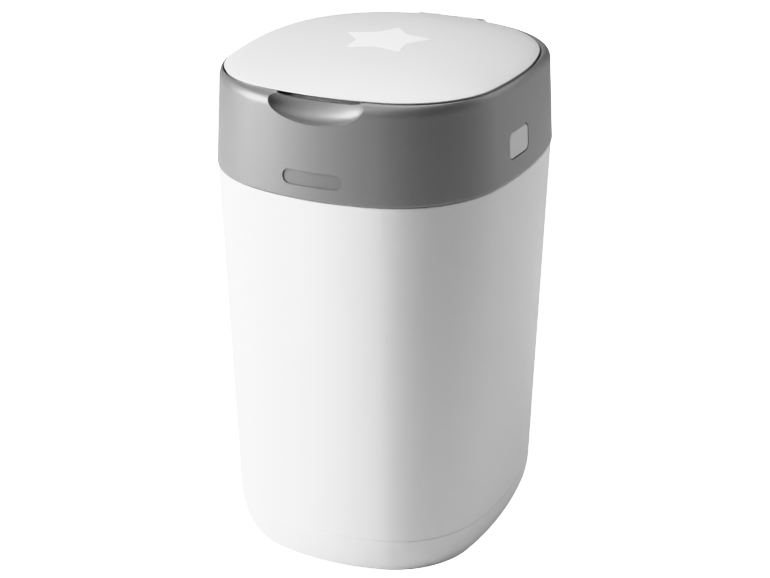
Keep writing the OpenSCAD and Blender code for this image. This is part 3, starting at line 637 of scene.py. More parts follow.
def shoulderRing(turn, inset):
    # turn runs from 0 at the top of the wall to 90 at the lip
    a, b = bodyRing(collar["draft"] + inset, 0), lidRing(-collar["gap"], 0)
    ring = a + (b - a) * (1 - cos(radians(turn)))
    rise = level["lip"] - level["shoulder"] - inset
    ring[:, 2] = level["shoulder"] + rise * sin(radians(turn))
    return ring


def stepped(a, b, t, z):
    # from ring a towards ring b by t, at height z
    d = b - a
    ring = a + d * np.minimum(t / np.linalg.norm(d[:, :2], axis=1)[:, None], 0.36)
    ring[:, 2] = z
    return ring


def collarCore(inset):
    # the collar's outer form moved inward, as a solid to cut with
    rings = [bodyRing(draftIn(z) + inset, z) for z in (level["tub"], 345, 360, 380, 396)]
    return skin(rings + [shoulderRing(t, inset) for t in range(0, 91, 10)])


def buildCollar():
    lip, wallTop = lidRing(-collar["gap"], 0), bodyRing(collar["draft"], 0)
    w, gap, room, i = collar["wall"], collar["gap"], collar["room"], collar["ledgeIn"]
    low, top = level["ledge"], level["deckLow"]
    foot = softProfile([(w, 331.3, 0), (1.4, 331.0, 0.5), (0.35, 331.1, 0.8), (0.05, 332.6, 1.0),
                        (0.1, 334, 0)])
    rings = [bodyRing(d, z) for d, z in foot]
    rings += [bodyRing(draftIn(z), z) for z in (340, 352, 364, 376, 388, 396)]
    rings += [shoulderRing(t, 0) for t in (0, 8, 16, 24, 32, 40, 48, 56, 64, 72, 80, 86)]
    rings += [lidRing(-gap - d, level["lip"] - z) for d, z in ((0.4, 0.0), (0.13, 0.14), (0, 0.5))]
    rings += [lidRing(d, z) for d, z in (
        (-gap, 405), (-room, 398), (-room, top + 0.3), (0.3 - room, top), (i - 0.4, top),
        (i, top - 0.3), (i, low + 0.3), (i - 0.4, low))]
    rings += [stepped(lip, wallTop, w, low), stepped(lip, wallTop, w, 403.3), stepped(wallTop, lip, w, 400),
              stepped(wallTop, lip, w, 391), bodyRing(collar["draft"] + w, 385), bodyRing(w, 336)]
    shell = makePiece("collarBody", [skin(rings, True)], "collar")
    shapeScoop(shell)
    cutBadge(shell)
    hole = buttonLoop(button["gap"], button["holeCorner"])
    hole = onAxis(prism(hole, 112, 130, 0.02, 1), button)
    carve(shell, [flippedX(hole)])
    carve(shell, [hole])
    cutLidNotch(shell)
    joined(shell, makePiece("collarExtra", buttonCages() + lidSeats() + headEars() + screwBosses(), "collar"))
    return fit(shell, "head", "collar_shell")


def scoopBowl(grow):
    # an ellipse drawn inward from the front, ending in a round bowl under the lid's edge
    a, c, deep, t = scoop["w"] / 2 + grow, scoop["low"] + grow, scoop["round"] + grow, angles(160)
    runs = [(1, -scoop["out"]), (1, 0)]
    runs += [(cos(q), deep * sin(q)) for q in np.radians(np.arange(6, 88, 6))]
    return skin([np.column_stack([a * k * np.cos(t), np.full(len(t), scoop["y"] + d),
                                  scoop["z"] + c * k * np.sin(t)]) for k, d in runs])


def shapeScoop(shell):
    # the bowl gets a back of its own, kept out of the lid's room; then the bowl and the slot are cut
    back = makePiece("scoopBack", [scoopBowl(scoop["back"])], "collar")
    carve(back, [collarCore(0.03)], "INTERSECT")
    room, n = collar["room"], scoop["notch"] - collar["room"]
    lidRoom = makePiece("lidRoom", [skin([lidRing(-room, 370), lidRing(-room, 430)])])
    carve(lidRoom, [block((-n, -150, 389), (n, 10, scoop["top"] - 0.3), 0.2)])
    combined(back, lidRoom)
    carve(back, [skin([lidRing(4.8, 370), lidRing(4.8, 430)])])
    combined(shell, back, "UNION")
    carve(shell, [scoopBowl(0)])
    t = np.arange(96) * 2 * pi / 96
    lens = np.column_stack([scoop["slot"] * np.cos(t), scoop["slotRise"] * np.sin(t)])
    carve(shell, [frontPrism(lens, scoop["slotY"], scoop["slotDeep"], scoop["top"])])


def cutBadge(shell):
    r, half = badge["h"] / 2, (badge["w"] - badge["h"]) / 2
    pill = [(x + r * cos(q), r * sin(q)) for x, start in ((half, -90), (-half, 90))
            for q in np.radians(start + 180 * np.arange(17) / 16)]
    tool = makePiece("badgeTool", [frontPrism(pill, -150, 14, badge["z"])])
    carve(tool, [collarCore(badge["depth"])])
    combined(shell, tool)


def buttonLoop(grow, r):
    w, h = button["w"] / 2 + grow, button["h"] / 2 + grow
    return boxLoop(-w, -h, w, h, r, 7)


def buttonCages():
    b = button
    half, top, low, x0 = b["w"] / 2 + 2.8, b["z"] + 9.3, b["z"] - 3.3, b["seatX"] - 1.8
    y0, y1 = b["y"] - half, b["y"] + half
    cage = [block(*ends) for ends in (
        ((x0, y0 - 2, low - 2), (120.6, y0, top + 2)), ((x0, y1, low - 2), (120.6, y1 + 2, top + 2)),
        ((x0, y0 - 1, top), (112.7, y1 + 1, top + 2)),
        ((x0, y0 - 1, low - 2), (b["legX"] - 3.8, y1 + 1, low)),
        ((x0, y0 - 1, low - 2), (b["seatX"], y1 + 1, top + 2)))]
    return [flippedX(p) for p in cage] + cage


def armSpan(side, room=0.0):
    return sorted((side * (lidHinge["armIn"] - room), side * (lidHinge["armOut"] + room)))


def cutLidNotch(shell):
    # room for the lid's arms to turn in
    h, r = lidHinge, lidHinge["knuckle"] + 0.4
    for s in (-1, 1):
        x0, x1 = armSpan(s, 0.3)
        for tool in (onAxis(rod(r, x0, x1, 0.05, 64), h),
                     block((x0, h["y"] - 10, h["z"] - r), (x1, h["y"] + 0.05, 428), 0.05),
                     block((x0, h["y"] - 1, h["z"]), (x1, h["y"] + r, 428), 0.05)):
            carve(shell, [tool])


def lidSeats():
    h, parts = lidHinge, []
    for x0, x1 in ((-h["half"], -24.3), (-9.7, 9.7), (24.3, h["half"])):
        barrel = knuckle(h, x0, x1, 0.15, 0.5, 56)
        barrel[0][:, 2] = np.minimum(barrel[0][:, 2], h["flat"])
        parts += [barrel, block((x0, 131.6, 400.5), (x1, h["y"] - 1.3, h["z"] - 0.1), 0.3),
                  block((x0, h["y"] - 1.5, 400.5), (x1, h["y"] + 1.2, h["z"] - 1.3), 0.3)]
    return parts


def headEars():
    h, parts = headHinge, []
    web = softProfile([(141.2, 331.2, 0.2), (h["y"] - 3.4, 331.2, 0.2), (h["y"] - 3.0, 334.4, 0.2),
                       (h["y"] + 0.5, 336.3, 0.4), (h["y"] + 0.3, 338.4, 0.5), (141.2, 343.5, 0.4)], True)
    for x0, x1 in ((-h["ear"], -h["half"] - 0.3), (h["half"] + 0.3, h["ear"])):
        parts += [knuckle(h, x0, x1, 0.2, 0.7, 72), alongX(prism(web, x0, x1, 0.4))]
    return parts


def screwSpots():
    # six places round the lid's plan, just inside its edge
    ring, n = lidRing(2.7, 0), plan["points"]
    return [ring[k * n // 6 + 2] for k in range(6)]


def screwBosses():
    boss = turned([(1.25, 382.5, 0.1), (1.25, 381, 0.2), (3.2, 381, 0.5), (3.2, 389.4, 0.1),
                   (1.25, 389.4, 0.1)], True, 36)
    return onSpots(boss, screwSpots())


def freshTree(name, **inputs):
    tree = bpy.data.node_groups.new(name, "GeometryNodeTree")
    for label, kind in {"Geometry": "Geometry", **inputs, "Finish": "Material"}.items():
        tree.interface.new_socket(label, in_out="INPUT", socket_type="NodeSocket" + kind)
    tree.interface.new_socket("Geometry", in_out="OUTPUT", socket_type="NodeSocketGeometry")
    return tree, tree.nodes.new("NodeGroupInput").outputs


def endTree(tree, into, shape):
    real = add(tree, "GeometryNodeRealizeInstances", {"Geometry": shape}).outputs["Geometry"]
    paint = add(tree, "GeometryNodeSetMaterial", {"Geometry": real, "Material": into["Finish"]})
    add(tree, "NodeGroupOutput", {"Geometry": paint.outputs["Geometry"]})
    return tree


def endCopies(tree, into, dots, turn=None):
    piece = add(tree, "GeometryNodeObjectInfo", {"Object": into["Piece"]}).outputs["Geometry"]
    spread = add(tree, "GeometryNodeInstanceOnPoints",
                 {"Points": dots, "Instance": piece, "Rotation": turn})
    return endTree(tree, into, spread.outputs["Instances"])


def placedCopiesTree():
    # one copy of a piece on each point of the host mesh
    tree, into = freshTree("placedCopies", Piece="Object")
    return endCopies(tree, into, into["Geometry"])


def turnedCopiesTree():
    # copies of a piece turned about the upright axis
    tree, into = freshTree("turnedCopies", Piece="Object", Count="Int", Start="Float")
    dots = add(tree, "GeometryNodePoints", {"Count": into["Count"]}).outputs["Points"]
    share = mathNode(tree, "DIVIDE", add(tree, "GeometryNodeInputIndex").outputs["Index"], into["Count"])
    angle = mathNode(tree, "MULTIPLY_ADD", share, 2 * pi, into["Start"])
    upright = add(tree, "ShaderNodeCombineXYZ", {"Z": angle}).outputs["Vector"]
    return endCopies(tree, into, dots, upright)


def coilTree():
    # a round wire wound about Z from the origin upward
    tree, into = freshTree("woundCoil", Radius="Float", Wire="Float", Length="Float", Turns="Float")
    path = add(tree, "GeometryNodeCurveSpiral", {
        "Resolution": 40, "Start Radius": into["Radius"], "End Radius": into["Radius"],
        "Height": into["Length"], "Rotations": into["Turns"]}).outputs["Curve"]
    wire = add(tree, "GeometryNodeCurvePrimitiveCircle", {"Resolution": 12, "Radius": into["Wire"]})
    sweep = add(tree, "GeometryNodeCurveToMesh", {
        "Curve": path, "Profile Curve": wire.outputs["Curve"], "Fill Caps": True})
    return endTree(tree, into, sweep.outputs["Mesh"])


def pleatTree():
    # pleats run round the pack and crumple a little
    tree, into = freshTree("filmPleats", Pitch="Float", Depth="Float", Crumple="Float")
    place = add(tree, "GeometryNodeInputPosition").outputs["Position"]
    height = add(tree, "ShaderNodeSeparateXYZ", {"Vector": place}).outputs["Z"]
    phase = mathNode(tree, "MULTIPLY", mathNode(tree, "DIVIDE", height, into["Pitch"]), 2 * pi)
    fold = mathNode(tree, "MULTIPLY", mathNode(tree, "SINE", phase), into["Depth"])
    crumple = mathNode(tree, "SUBTRACT", noise(tree, place, 90), 0.5)
    out = mathNode(tree, "MULTIPLY_ADD", crumple, into["Crumple"], fold)
    normal = add(tree, "GeometryNodeInputNormal").outputs["Normal"]
    push = add(tree, "ShaderNodeVectorMath", {0: normal, "Scale": out}, operation="SCALE").outputs["Vector"]
    bent = add(tree, "GeometryNodeSetPosition", {"Geometry": into["Geometry"], "Offset": push})
    return endTree(tree, into, bent.outputs["Geometry"])


trees = {"placed": placedCopiesTree(), "turned": turnedCopiesTree(), "coil": coilTree(), "pleat": pleatTree()}


def grown(host, kind, values, sharp):
    # runs a tree on the host mesh and keeps the result as the host's own mesh
    mod, tree = host.modifiers.new(kind, "NODES"), trees[kind]
    mod.node_group = tree
    for item in tree.interface.items_tree:
        if item.item_type == "SOCKET" and item.in_out == "INPUT" and item.name in values:
            mod[item.identifier] = values[item.name]
    baked(host)
    cleaned(host.data, outward=True)
    easeShading(host, sharp)
    return host


def pointHost(name, places=((0, 0, 0),)):
    # bare points for a tree to work on
    mesh = bpy.data.meshes.new(name)
    mesh.from_pydata([tuple(c * mm for c in p) for p in places], [], [])
    obj = bpy.data.objects.new(name, mesh)
    bpy.context.scene.collection.objects.link(obj)
    return obj


def copies(name, kind, one, look, places=((0, 0, 0),), sharp=32, **values):
    # the piece that is copied is used up
    values.update({"Piece": one, "Finish": finish[look]})
    host = grown(pointHost(name, places), kind, values, sharp)
    bpy.data.objects.remove(one)
    return host


def coil(name, radius, wire, length, turns):
    values = {"Radius": radius * mm, "Wire": wire / 2 * mm, "Length": (length - wire) * mm,
              "Turns": float(turns), "Finish": finish["steel"]}
    return grown(pointHost(name), "coil", values, 60)


def carried(obj, how):
    # re-places a finished mesh; how maps an array of points in mm to new ones
    v = np.empty(len(obj.data.vertices) * 3)
    obj.data.vertices.foreach_get("co", v)
    obj.data.vertices.foreach_set("co", (how(v.reshape(-1, 3) / mm) * mm).ravel())
    obj.data.update()


def pinAlongX(name, hinge, half, rim, rimT):
    r, head = hinge["pin"], hinge["pin"] + rim
    corners = [(0.01, -half - rimT, 0), (head, -half - rimT, 0.4), (head, -half, 0.15), (r, -half, 0.1),
               (r, half, 0.1), (head, half, 0.15), (head, half + rimT, 0.4), (0.01, half + rimT, 0)]
    return makePiece(name, [onAxis(turned(corners, False, 64, 3), hinge)], "steel")


def buildPins():
    fit(pinAlongX("headPin", headHinge, 46.5, 1, 1.5), "tub", "head_hinge_pin")
    fit(pinAlongX("lidPin", lidHinge, 30.5, 0.3, 1.2), "head", "lid_hinge_pin")


screw = {"r": 1.2, "headR": 2.7, "headT": 1.7, "slotL": 1.6, "slotW": 0.4, "slotDeep": 0.7, "hole": 1.4}


def placedScrews(name, places, body, node, tip, headZ, up):
    # up is 1 where the head is above the shank, -1 where it is below; the head has a cross slot
    r, headR, headT = screw["r"], screw["headR"], screw["headT"] * up
    corners = [(0.01, tip, 0), (0.5, tip, 0.1), (r, tip + 1.4 * up, 0.2), (r, headZ, 0.05),
               (headR, headZ, 0.2), (headR, headZ + headT * 0.7, 0.6), (headR - 0.6, headZ + headT, 0.4),
               (0.01, headZ + headT, 0)]
    one = makePiece(name + "One", [turned(corners[::up], False, 40, 3)], "steel")
    slotZ, deep = headZ + headT - 0.5 * up, screw["slotDeep"]
    for x, y in ((screw["slotL"], screw["slotW"]), (screw["slotW"], screw["slotL"])):
        carve(one, [block((-x, -y, slotZ - deep), (x, y, slotZ + deep), 0.05)])
    fit(copies(name, "placed", one, "steel", places), body, node)


well = {"floorR": 70.0, "r": 89.9, "wall": 2.0, "neckR": 92.4, "low": 342.2, "seat": 344.6, "step": 387.2,
        "top": 389.6, "mouthR": 90.0}
cassette = {"neck": 60.0, "r": 89.5, "wall": 1.8, "low": 344.6, "neckTop": 387.6, "capLow": 388.0,
            "top": 389.6}
film = {"r0": 63.3, "r1": 86.2, "low": 347.5, "top": 382.9, "rows": 200, "cols": 14,
        "pitch": 1.8, "depth": 0.55, "crumple": 0.8}


def buildDeck():
    w, low, top = well, level["deckLow"], level["deck"]
    outR, neckR = w["r"] + w["wall"], w["neckR"] + w["wall"]
    rings = [lidRing(i, z) for i, z in (
        (-0.4, low), (-0.4, top), (6, top), (6, top + 3.4), (9, top + 3.4), (9, top))]
    rings += [roundRing(r, z) for r, z in (
        (w["mouthR"], top), (w["mouthR"], low), (w["neckR"], low), (w["neckR"], w["top"]),
        (w["r"], w["top"]), (w["r"], w["seat"]), (w["floorR"], w["seat"]), (w["floorR"], w["low"]),
        (outR, w["low"]), (outR, w["step"]), (neckR, w["step"]), (neckR, low))]
    obj = makePiece("headDeck", [skin(eased(rings, [0.35] * len(rings)), True)], "deck")
    carve(obj, [scoopBowl(scoop["back"] + 0.3)])
    carve(obj, onSpots(rod(screw["hole"], 390, 397, 0.05, 32), screwSpots()))
    fit(obj, "head", "head_deck")
    placedScrews("deckScrews", screwSpots(), "head", "deck_screws", 383, top, 1)


def buildClickLeaf():
    y, z = ringPart["r"], level["deck"]
    parts = [block((3, y + 3, z), (9, y + 9, z + 1), 0.2), block((-8, y + 3, z), (9, y + 3.8, z + 3.1), 0.2),
             moved(rod(1.3, z + 0.3, z + 3.1, 0.2, 32), -6, y + 1.6),
             block((-6.8, y + 1.6, z + 0.3), (-5.2, y + 3.5, z + 3.1), 0.1),
             moved(rod(1.6, z + 0.9, z + 1.6, 0.3, 32), 6, y + 6.4)]
    fit(makePiece("clickLeaf", parts, "steel"), "head", "click_spring")


def buildCassette():
    c, w, neck, r = cassette, cassette["wall"], cassette["neck"], cassette["r"]
    low, capLow, top, neckTop = c["low"], c["capLow"], c["top"], c["neckTop"]
    lip = r - 2 * w - 0.3
    body = [(neck, low, 0.6), (r, low, 1.2), (r, capLow, 0.3), (r - w, capLow, 0.3), (r - w, low + w, 0.8),
            (neck + w, low + w, 0.8), (neck + w, neckTop, 0.7), (neck, neckTop, 0.7)]
    cap = [(neck + w + 0.8, capLow, 0.5), (lip, capLow, 0.2), (lip, capLow - 4, 0.4),
           (lip + w, capLow - 4, 0.4), (lip + w, capLow, 0.1), (r, capLow, 0.2), (r, top, 0.6),
           (r - 5, top, 0.8), (r - 6, top - 0.4, 0.8), (neck + 9, top - 0.4, 0.8),
           (neck + 8, top, 0.8), (neck + w + 0.8, top, 0.5)]
    tray = makePiece("cassetteTub", [turned(body, True, 240)], "cassette")
    fit(tray, "head", "cassette_body")
    fit(makePiece("cassetteCap", [turned(cap, True, 240)], "cap"), "head", "cassette_cap")


def buildFilm():
    f = film
    up, across = np.arange(f["rows"]) / f["rows"], np.arange(f["cols"]) / f["cols"]
    wide, tall = f["r1"] - f["r0"], f["top"] - f["low"]
    section = [(f["r0"], f["low"] + tall * t) for t in up] + [(f["r0"] + wide * t, f["top"]) for t in across]
    section += [(f["r1"], f["top"] - tall * t) for t in up] + [(f["r1"] - wide * t, f["low"]) for t in across]
    host = makePiece("filmPack", [skin([roundRing(r, z, 160) for r, z in section], True)], "film")
    grown(host, "pleat", {"Pitch": f["pitch"] * mm, "Depth": f["depth"] * mm,
                          "Crumple": f["crumple"] * mm, "Finish": finish["film"]}, 70)
    fit(host, "head", "film_pack")


ringPart = {"r": 93.5, "low": 395.3, "top": 398.1, "hole": 38.6, "skirtIn": 87.4, "skirtOut": 89.94,
            "bead": 91.5, "skirtLow": 390.2, "beadTop": 391.7, "notches": 24, "grips": 6, "gripTop": 402.1}
petalPin = {"x": 41.0, "z": 391.0, "r": 1.0, "half": 33.0, "barrel": 2.2, "lug": 3.0, "fit": 0.05}
cup = {"x0": 43.9, "x1": 57.0, "half": 11.0, "floor": 388.0, "mid": 50.45, "wall": 1.4}


def buildRing():
    g, m, f = ringPart, cup["mid"], cup["floor"]
    rings = [roundRing(g["r"], g["low"]), roundRing(g["r"], g["top"]), squareRing(g["hole"], g["top"]),
             squareRing(g["hole"], g["low"])]
    rings += [roundRing(r, z) for r, z in (
        (g["skirtIn"], g["low"]), (g["skirtIn"], g["skirtLow"]), (g["bead"], g["skirtLow"]),
        (g["bead"], g["beadTop"]), (g["skirtOut"], g["beadTop"]), (g["skirtOut"], g["low"]))]
    radii = [0.5, 0.8, 0.9, 0.5, 0.3, 0.4, 0.4, 0.4, 0.2, 0.2]
    obj = makePiece("turnRing", [skin(eased(rings, radii), True)], "ring")
    w = cup["wall"]
    inside = block((cup["x0"] + w, w - cup["half"], f + 1.6), (cup["x1"] - w, cup["half"] - w, 400), 0.8)
    notch = moved(rod(1.2, 394, 400, 0.05, 24), g["bead"] + 2.3)
    carve(obj, [inside])
    carve(obj, [spun(notch, (k + 0.5) * 360 / g["notches"]) for k in range(g["notches"])])
    outside = block((cup["x0"], -cup["half"], f), (cup["x1"], cup["half"], 396.2), 0.6)
    box = makePiece("cutterCup", [outside], "ring")
    carve(box, [inside])
    carve(box, [block((m - x, y0, f - 1), (m + x, y1, f + 3), 0.1)
                for x, y0, y1 in ((1.9, -5.4, 5.4), (3.2, 6.6, 8.8), (3.2, -8.8, -6.6))])
    joined(obj, box)
    grip = prism(boxLoop(65, -3, 87, 3, 2.95, 8), 397.4, g["gripTop"], 1.5, 6)
    joined(obj, copies("gripRow", "turned", makePiece("gripOne", [grip], "ring"), "ring",
                       Count=g["grips"], Start=pi / g["grips"]))
    p = petalPin
    lugs, r = [], p["barrel"]
    for y0 in (-p["half"] - 0.3 - p["lug"], p["half"] + 0.3):
        lugs += [alongYTube(p["x"], p["z"], y0, y0 + p["lug"], p["r"] + p["fit"], r),
                 block((p["x"] - r, y0 + 0.05, p["z"] + 1.15), (p["x"] + r, y0 + p["lug"] - 0.05, 396), 0.2)]
    joined(obj, copies("lugRow", "turned", makePiece("lugOne", lugs, "ring"), "ring", Count=4))
    fit(obj, "ring", "twist_ring")


def buildPetals():
    p = petalPin
    x, z, near, yUp, yLow, edge = p["x"], p["z"], 0.9, p["half"] - 1.1, p["half"] - 5.7, p["x"] - 1.6
    outline = roundedLoop([(near, near - 0.5), (yUp + 0.5, yUp), (edge, yUp), (edge, -yLow),
                           (yLow + 0.5, -yLow), (near, 0.5 - near)], 0.5, 3)
    parts = [prism(outline, z - 0.8, z + 0.8, 0.4),
             alongYTube(x, z, -yLow, p["half"], p["r"] + p["fit"], p["barrel"])]
    parts += [block((12, y, z + 0.6), (34, y + 0.6, z + 1.1), 0.2) for y in (-1.5, 0.9)]
    for k, side in enumerate(("right", "back", "left", "front")):
        obj = makePiece("petal" + side.capitalize(), [spun(part, 90 * k) for part in parts], "petal")
        fit(obj, "petal_" + side, "petal_" + side)
    reach = p["half"] + 0.3 + p["lug"] + 0.4
    pin = alongYTube(x, z, -reach, reach, 0.01, p["r"])
    pins = makePiece("petalPins", [spun(pin, 90 * k) for k in range(4)], "steel")
    fit(pins, "ring", "petal_pins")
    one = coil("petalCoil", p["r"] + 0.75, 0.6, 5.2, 4)
    carried(one, lambda v: np.column_stack([v[:, 0] + x, v[:, 2] - p["half"] + 0.4, z - v[:, 1]]))
    row = copies("petalCoils", "turned", one, "steel", sharp=60, Count=4)
    fit(row, "ring", "petal_springs")


cutter = {"top": 400.7, "gap": 1.8, "padT": 2.4, "travel": 5.5, "bladeT": 0.6, "coilR": 0.9, "wire": 0.4}


def buildCutter():
    c, f, top, gap = cup["mid"], cup["floor"], cutter["top"], cutter["gap"]
    half, under = cup["half"] - gap, top - 2
    pad = boxLoop(cup["x0"] + gap, -half, cup["x1"] - gap, half, 1.4, 5)
    parts = [prism(pad, top - cutter["padT"], top, 0.7, 5),
             block((c - 1.6, -5, f + 0.4), (c + 0.2, 5, under), 0.15)]
    for y0, y1, z1, soft in ((-8.4, -7, under, 0.2), (-9.8, -7, f - 0.3, 0.25),
                             (7, 8.4, under, 0.2), (7, 9.8, f - 0.3, 0.25)):
        parts.append(block((c - 2.8, y0, f - 1.6), (c + 2.8, y1, z1), soft))
    fit(makePiece("cutterSlide", parts, "cutter"), "cutter", "cutter_slider")
    edge = [(-4.5, f + 7), (-4.5, f + 3.2), (0, f + 0.2), (4.5, f + 3.2), (4.5, f + 7)]
    blade = moved(alongX(prism(edge, 0, cutter["bladeT"], 0.08, 2)), c + 0.2)
    fit(makePiece("cutterBlade", [blade], "blade"), "cutter", "cutter_blade")
    low, high = f + 1.6, top - cutter["padT"]
    one = coil("cutterCoil", cutter["coilR"], cutter["wire"], high - low, 9)
    spots = [(c + 3.4, y, low + 0.2) for y in (-3, 3)]
    pair = copies("cutterCoils", "placed", one, "steel", spots, 60)
    fit(pair, "ring", "cutter_spring")
    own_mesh(pair)


lid = {"wall": 2.4, "crown": 9.3, "power": 2.4, "roll": 1.15, "rollPower": 14, "skirtIn": 1.7,
       "linerLow": 402.8, "linerT": 2.0, "linerIn": 5.4, "bossX": 66.0, "bossY": 72.0,
       "bossLow": 404.8, "bossR": 3.2}
star = {"r": 38.0, "waist": 0.6, "x": -4.0, "y": 3.0, "turn": -48.0, "low": 420.2, "gap": 0.15,
        "edge": 0.35, "proud": 0.12}


def domeRise(k):
    # k is the share of the way from the crown to the lid's edge
    return lid["crown"] * (1 - k ** lid["power"]) + lid["roll"] * (1 - k ** lid["rollPower"])


def domeRing(k, inset, drop):
    ring = lidRing(inset, 0)
    ring[:, 0] *= k
    ring[:, 1] = lidMidY + (ring[:, 1] - lidMidY) * k
    ring[:, 2] = level["seam"] - drop + domeRise(k)
    return ring


def domeZ(x, y):
    # the dome's height above any place on the lid
    x, y, ring = np.asarray(x), np.asarray(y) - lidMidY, lidRing(1, 0) - (0, lidMidY, 0)
    away, reach = np.arctan2(ring[:, 1], ring[:, 0]), np.hypot(ring[:, 0], ring[:, 1])
    order = np.argsort(away)
    edge = np.interp(np.arctan2(y, x), away[order], reach[order], period=2 * pi)
    return level["seam"] + domeRise(np.hypot(x, y) / edge)


def starLoop(grow):
    pts = []
    for k in range(10):
        r, soft = (star["r"], 0.9) if k % 2 == 0 else (star["r"] * star["waist"], 1.2)
        q = radians(star["turn"] + 36 * k)
        pts.append((star["x"] + (r + grow) * cos(q), star["y"] + (r + grow) * sin(q), soft))
    return np.array(softProfile(pts, True, 4))


def bossSpots():
    return [(x, y + lidMidY, 0) for x in (-lid["bossX"], lid["bossX"]) for y in (-lid["bossY"], lid["bossY"])]


def buildLid():
    d, w, h, low = lid, lid["wall"], lidHinge, level["skirt"]
    shares = [0.985, 0.965, 0.94, 0.91, 0.87, 0.82, 0.76, 0.69, 0.61, 0.53, 0.45, 0.37, 0.3, 0.23,
              0.16, 0.09, 0.03]
    edge = softProfile([(w, low, 0), (d["skirtIn"], low, 0.3), (d["skirtIn"], 409.2, 0.3),
                        (0.15, 409.7, 0.25), (0, 410.6, 0.85), (2.8, 411.37, 0)], False, 6)[1:-1]
    rings = [domeRing(k, w, w) for k in reversed(shares[1:])]
    rings += [domeRing(1, w, w), lidRing(w, low + 0.3), lidRing(w - 0.3, low)]
    rings += [lidRing(i, z) for i, z in edge] + [domeRing(k, 1, 0) for k in shares]
    obj = makePiece("lidShell", [skin(rings)], "lid")
    carve(obj, [block((-scoop["notch"], -128.6, 401), (scoop["notch"], -122.2, scoop["top"]), 0.3)])
    carve(obj, [prism(starLoop(star["gap"]), star["low"], 430, 0.02, 1)])
    parts, foot, r = [], d["bossLow"], d["bossR"]
    for x, y, _ in bossSpots():
        z = float(domeZ(x, y)) - w + 0.6
        boss = turned([(1.25, foot, 0.1), (r, foot, 0.4), (r, z, 0.1), (1.25, z, 0.1)], True, 36)
        parts.append(moved(boss, x, y))
    for s in (-1, 1):
        x0, x1 = armSpan(s)
        parts += [knuckle(h, x0, x1, 0.15, 0.6, 56),
                  block((x0, 126.4, h["z"] - h["knuckle"]), (x1, h["y"] - 1.3, h["z"] + 1.1), 0.5)]
    joined(obj, makePiece("lidExtra", parts, "lid"))
    fit(obj, "lid", "lid_shell")


def buildStar():
    loop, centre, e = starLoop(0), np.array([star["x"], star["y"]]), star["edge"]
    rings = [atZ(centre + (loop - centre) * t, star["low"] + 0.02) for t in (0.2, 0.9, 1.0)]
    for q in np.linspace(0, pi / 2, 5):
        p = pulledIn(loop, e * (1 - cos(q)))
        rings.append(np.column_stack([p, domeZ(p[:, 0], p[:, 1]) + star["proud"] - e * (1 - sin(q))]))
    for t in (0.93, 0.8, 0.65, 0.5, 0.35, 0.2, 0.08):
        p = centre + (pulledIn(loop, e) - centre) * t
        rings.append(np.column_stack([p, domeZ(p[:, 0], p[:, 1]) + star["proud"]]))
    fit(makePiece("starInlay", [skin(rings)], "star"), "lid", "star_inlay")


def buildLiner():
    low, spots = lid["linerLow"], bossSpots()
    plate = prism(lidRing(lid["linerIn"], 0)[:, :2], low, low + lid["linerT"], 0.5)
    obj = makePiece("lidLiner", [plate], "liner")
    carve(obj, onSpots(rod(screw["hole"], 401, 407, 0.05, 32), spots))
    fit(obj, "lid", "lid_liner")
    placedScrews("linerScrews", spots, "lid", "liner_screws", 410.3, low, -1)
    lip = softProfile([(5.5, 402.75, 0.4), (5.5, 399.6, 1.2), (6.9, 398.75, 0.8), (8.4, 398.75, 0.8),
                       (9.9, 399.6, 1.2), (9.9, 402.75, 0.4)], True)
    seal = makePiece("lidSeal", [skin([lidRing(i, z) for i, z in lip], True)], "seal")
    fit(seal, "lid", "lid_seal")


def buttonRing(loop, drop):
    # a ring drop mm beneath the collar's side, about a button's centre
    y, z = loop[:, 0] + button["y"], loop[:, 1] + button["z"]
    a, b, r, s = plan["halfW"], plan["front"], plan["frontR"], plan["bow"]
    ra = ((r + s) ** 2 + (b - r - s) ** 2 - r ** 2) / (2 * s)
    return np.column_stack([a - ra + np.sqrt((ra - draftIn(z)) ** 2 - y ** 2) - drop, y, z])


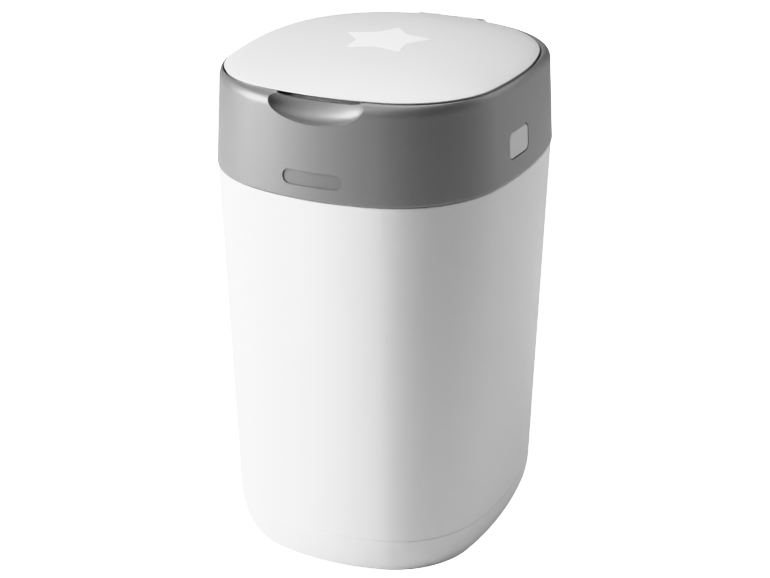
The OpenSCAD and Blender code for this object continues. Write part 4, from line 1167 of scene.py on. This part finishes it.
def buttonFace():
    r, sunk, loop = button["edge"], button["sunk"], buttonLoop(0, button["corner"])
    rings = [onAxis((atZ(loop * t, button["inner"] - 0.5), None), button)[0] for t in (0.3, 1)]
    for q in np.linspace(0, pi / 2, 7):
        rings.append(buttonRing(pulledIn(loop, r * (1 - cos(q))), r * (1 - sin(q)) + sunk))
    return skin(rings + [buttonRing(pulledIn(loop, r) * t, sunk) for t in (0.9, 0.75, 0.55, 0.35, 0.15)])


def buildButtons():
    b, y, z = button, button["y"], button["z"]
    flange = prism(boxLoop(-20, -13, 20, 13, 7, 6), b["inner"] - 1.5, b["inner"], 0.3)
    parts = [buttonFace(), onAxis(flange, button),
             block((b["stemEnd"], y - 9, z - 3), (b["inner"] - 1, y + 9, z + 9), 0.5),
             block((b["legX"], y - 7, 323), (b["legX"] + 3, y + 7, z - 2), 0.5),
             block((b["legX"], y - 7, 323), (115.5, y + 7, 327.7), 0.6)]
    length = b["stemEnd"] - b["seatX"]
    for s, side in ((1, "right"), (-1, "left")):
        own = parts if s > 0 else [flippedX(p) for p in parts]
        obj = makePiece("button" + side.capitalize(), own, "button")
        fit(obj, "button_" + side, "button_" + side)
        one = coil("buttonCoil" + side.capitalize(), b["coilR"], b["wire"], length, 6)
        carried(one, lambda v: np.column_stack([s * (v[:, 2] + b["seatX"] + 0.4), v[:, 0] + y,
                                                v[:, 1] + z + b["coilZ"]]))
        if s < 0:
            one.data.flip_normals()
        fit(one, "head", "button_spring_" + side)
        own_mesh(one)


floor = {"r": 6500.0, "thick": 8.0}


def buildFloor():
    rings = [roundRing(r, z, 96) for r, z in ((floor["r"], -floor["thick"]), (floor["r"], 0), (0.5, 0))]
    makePiece("paleFloor", [skin(rings)], "floor")


placeCamera()
studio()
tubBody = buildTub()
print("tub:", len(tubBody.data.polygons), "faces")
collarBody = buildCollar()
print("collar:", len(collarBody.data.polygons), "faces")
buildPins()
buildDeck()
buildClickLeaf()
buildCassette()
buildFilm()
print("head: deck, cassette and film")
buildRing()
buildPetals()
buildCutter()
print("ring, petals and cutter")
buildLid()
buildStar()
buildLiner()
buildButtons()
print("lid and buttons")
buildFloor()
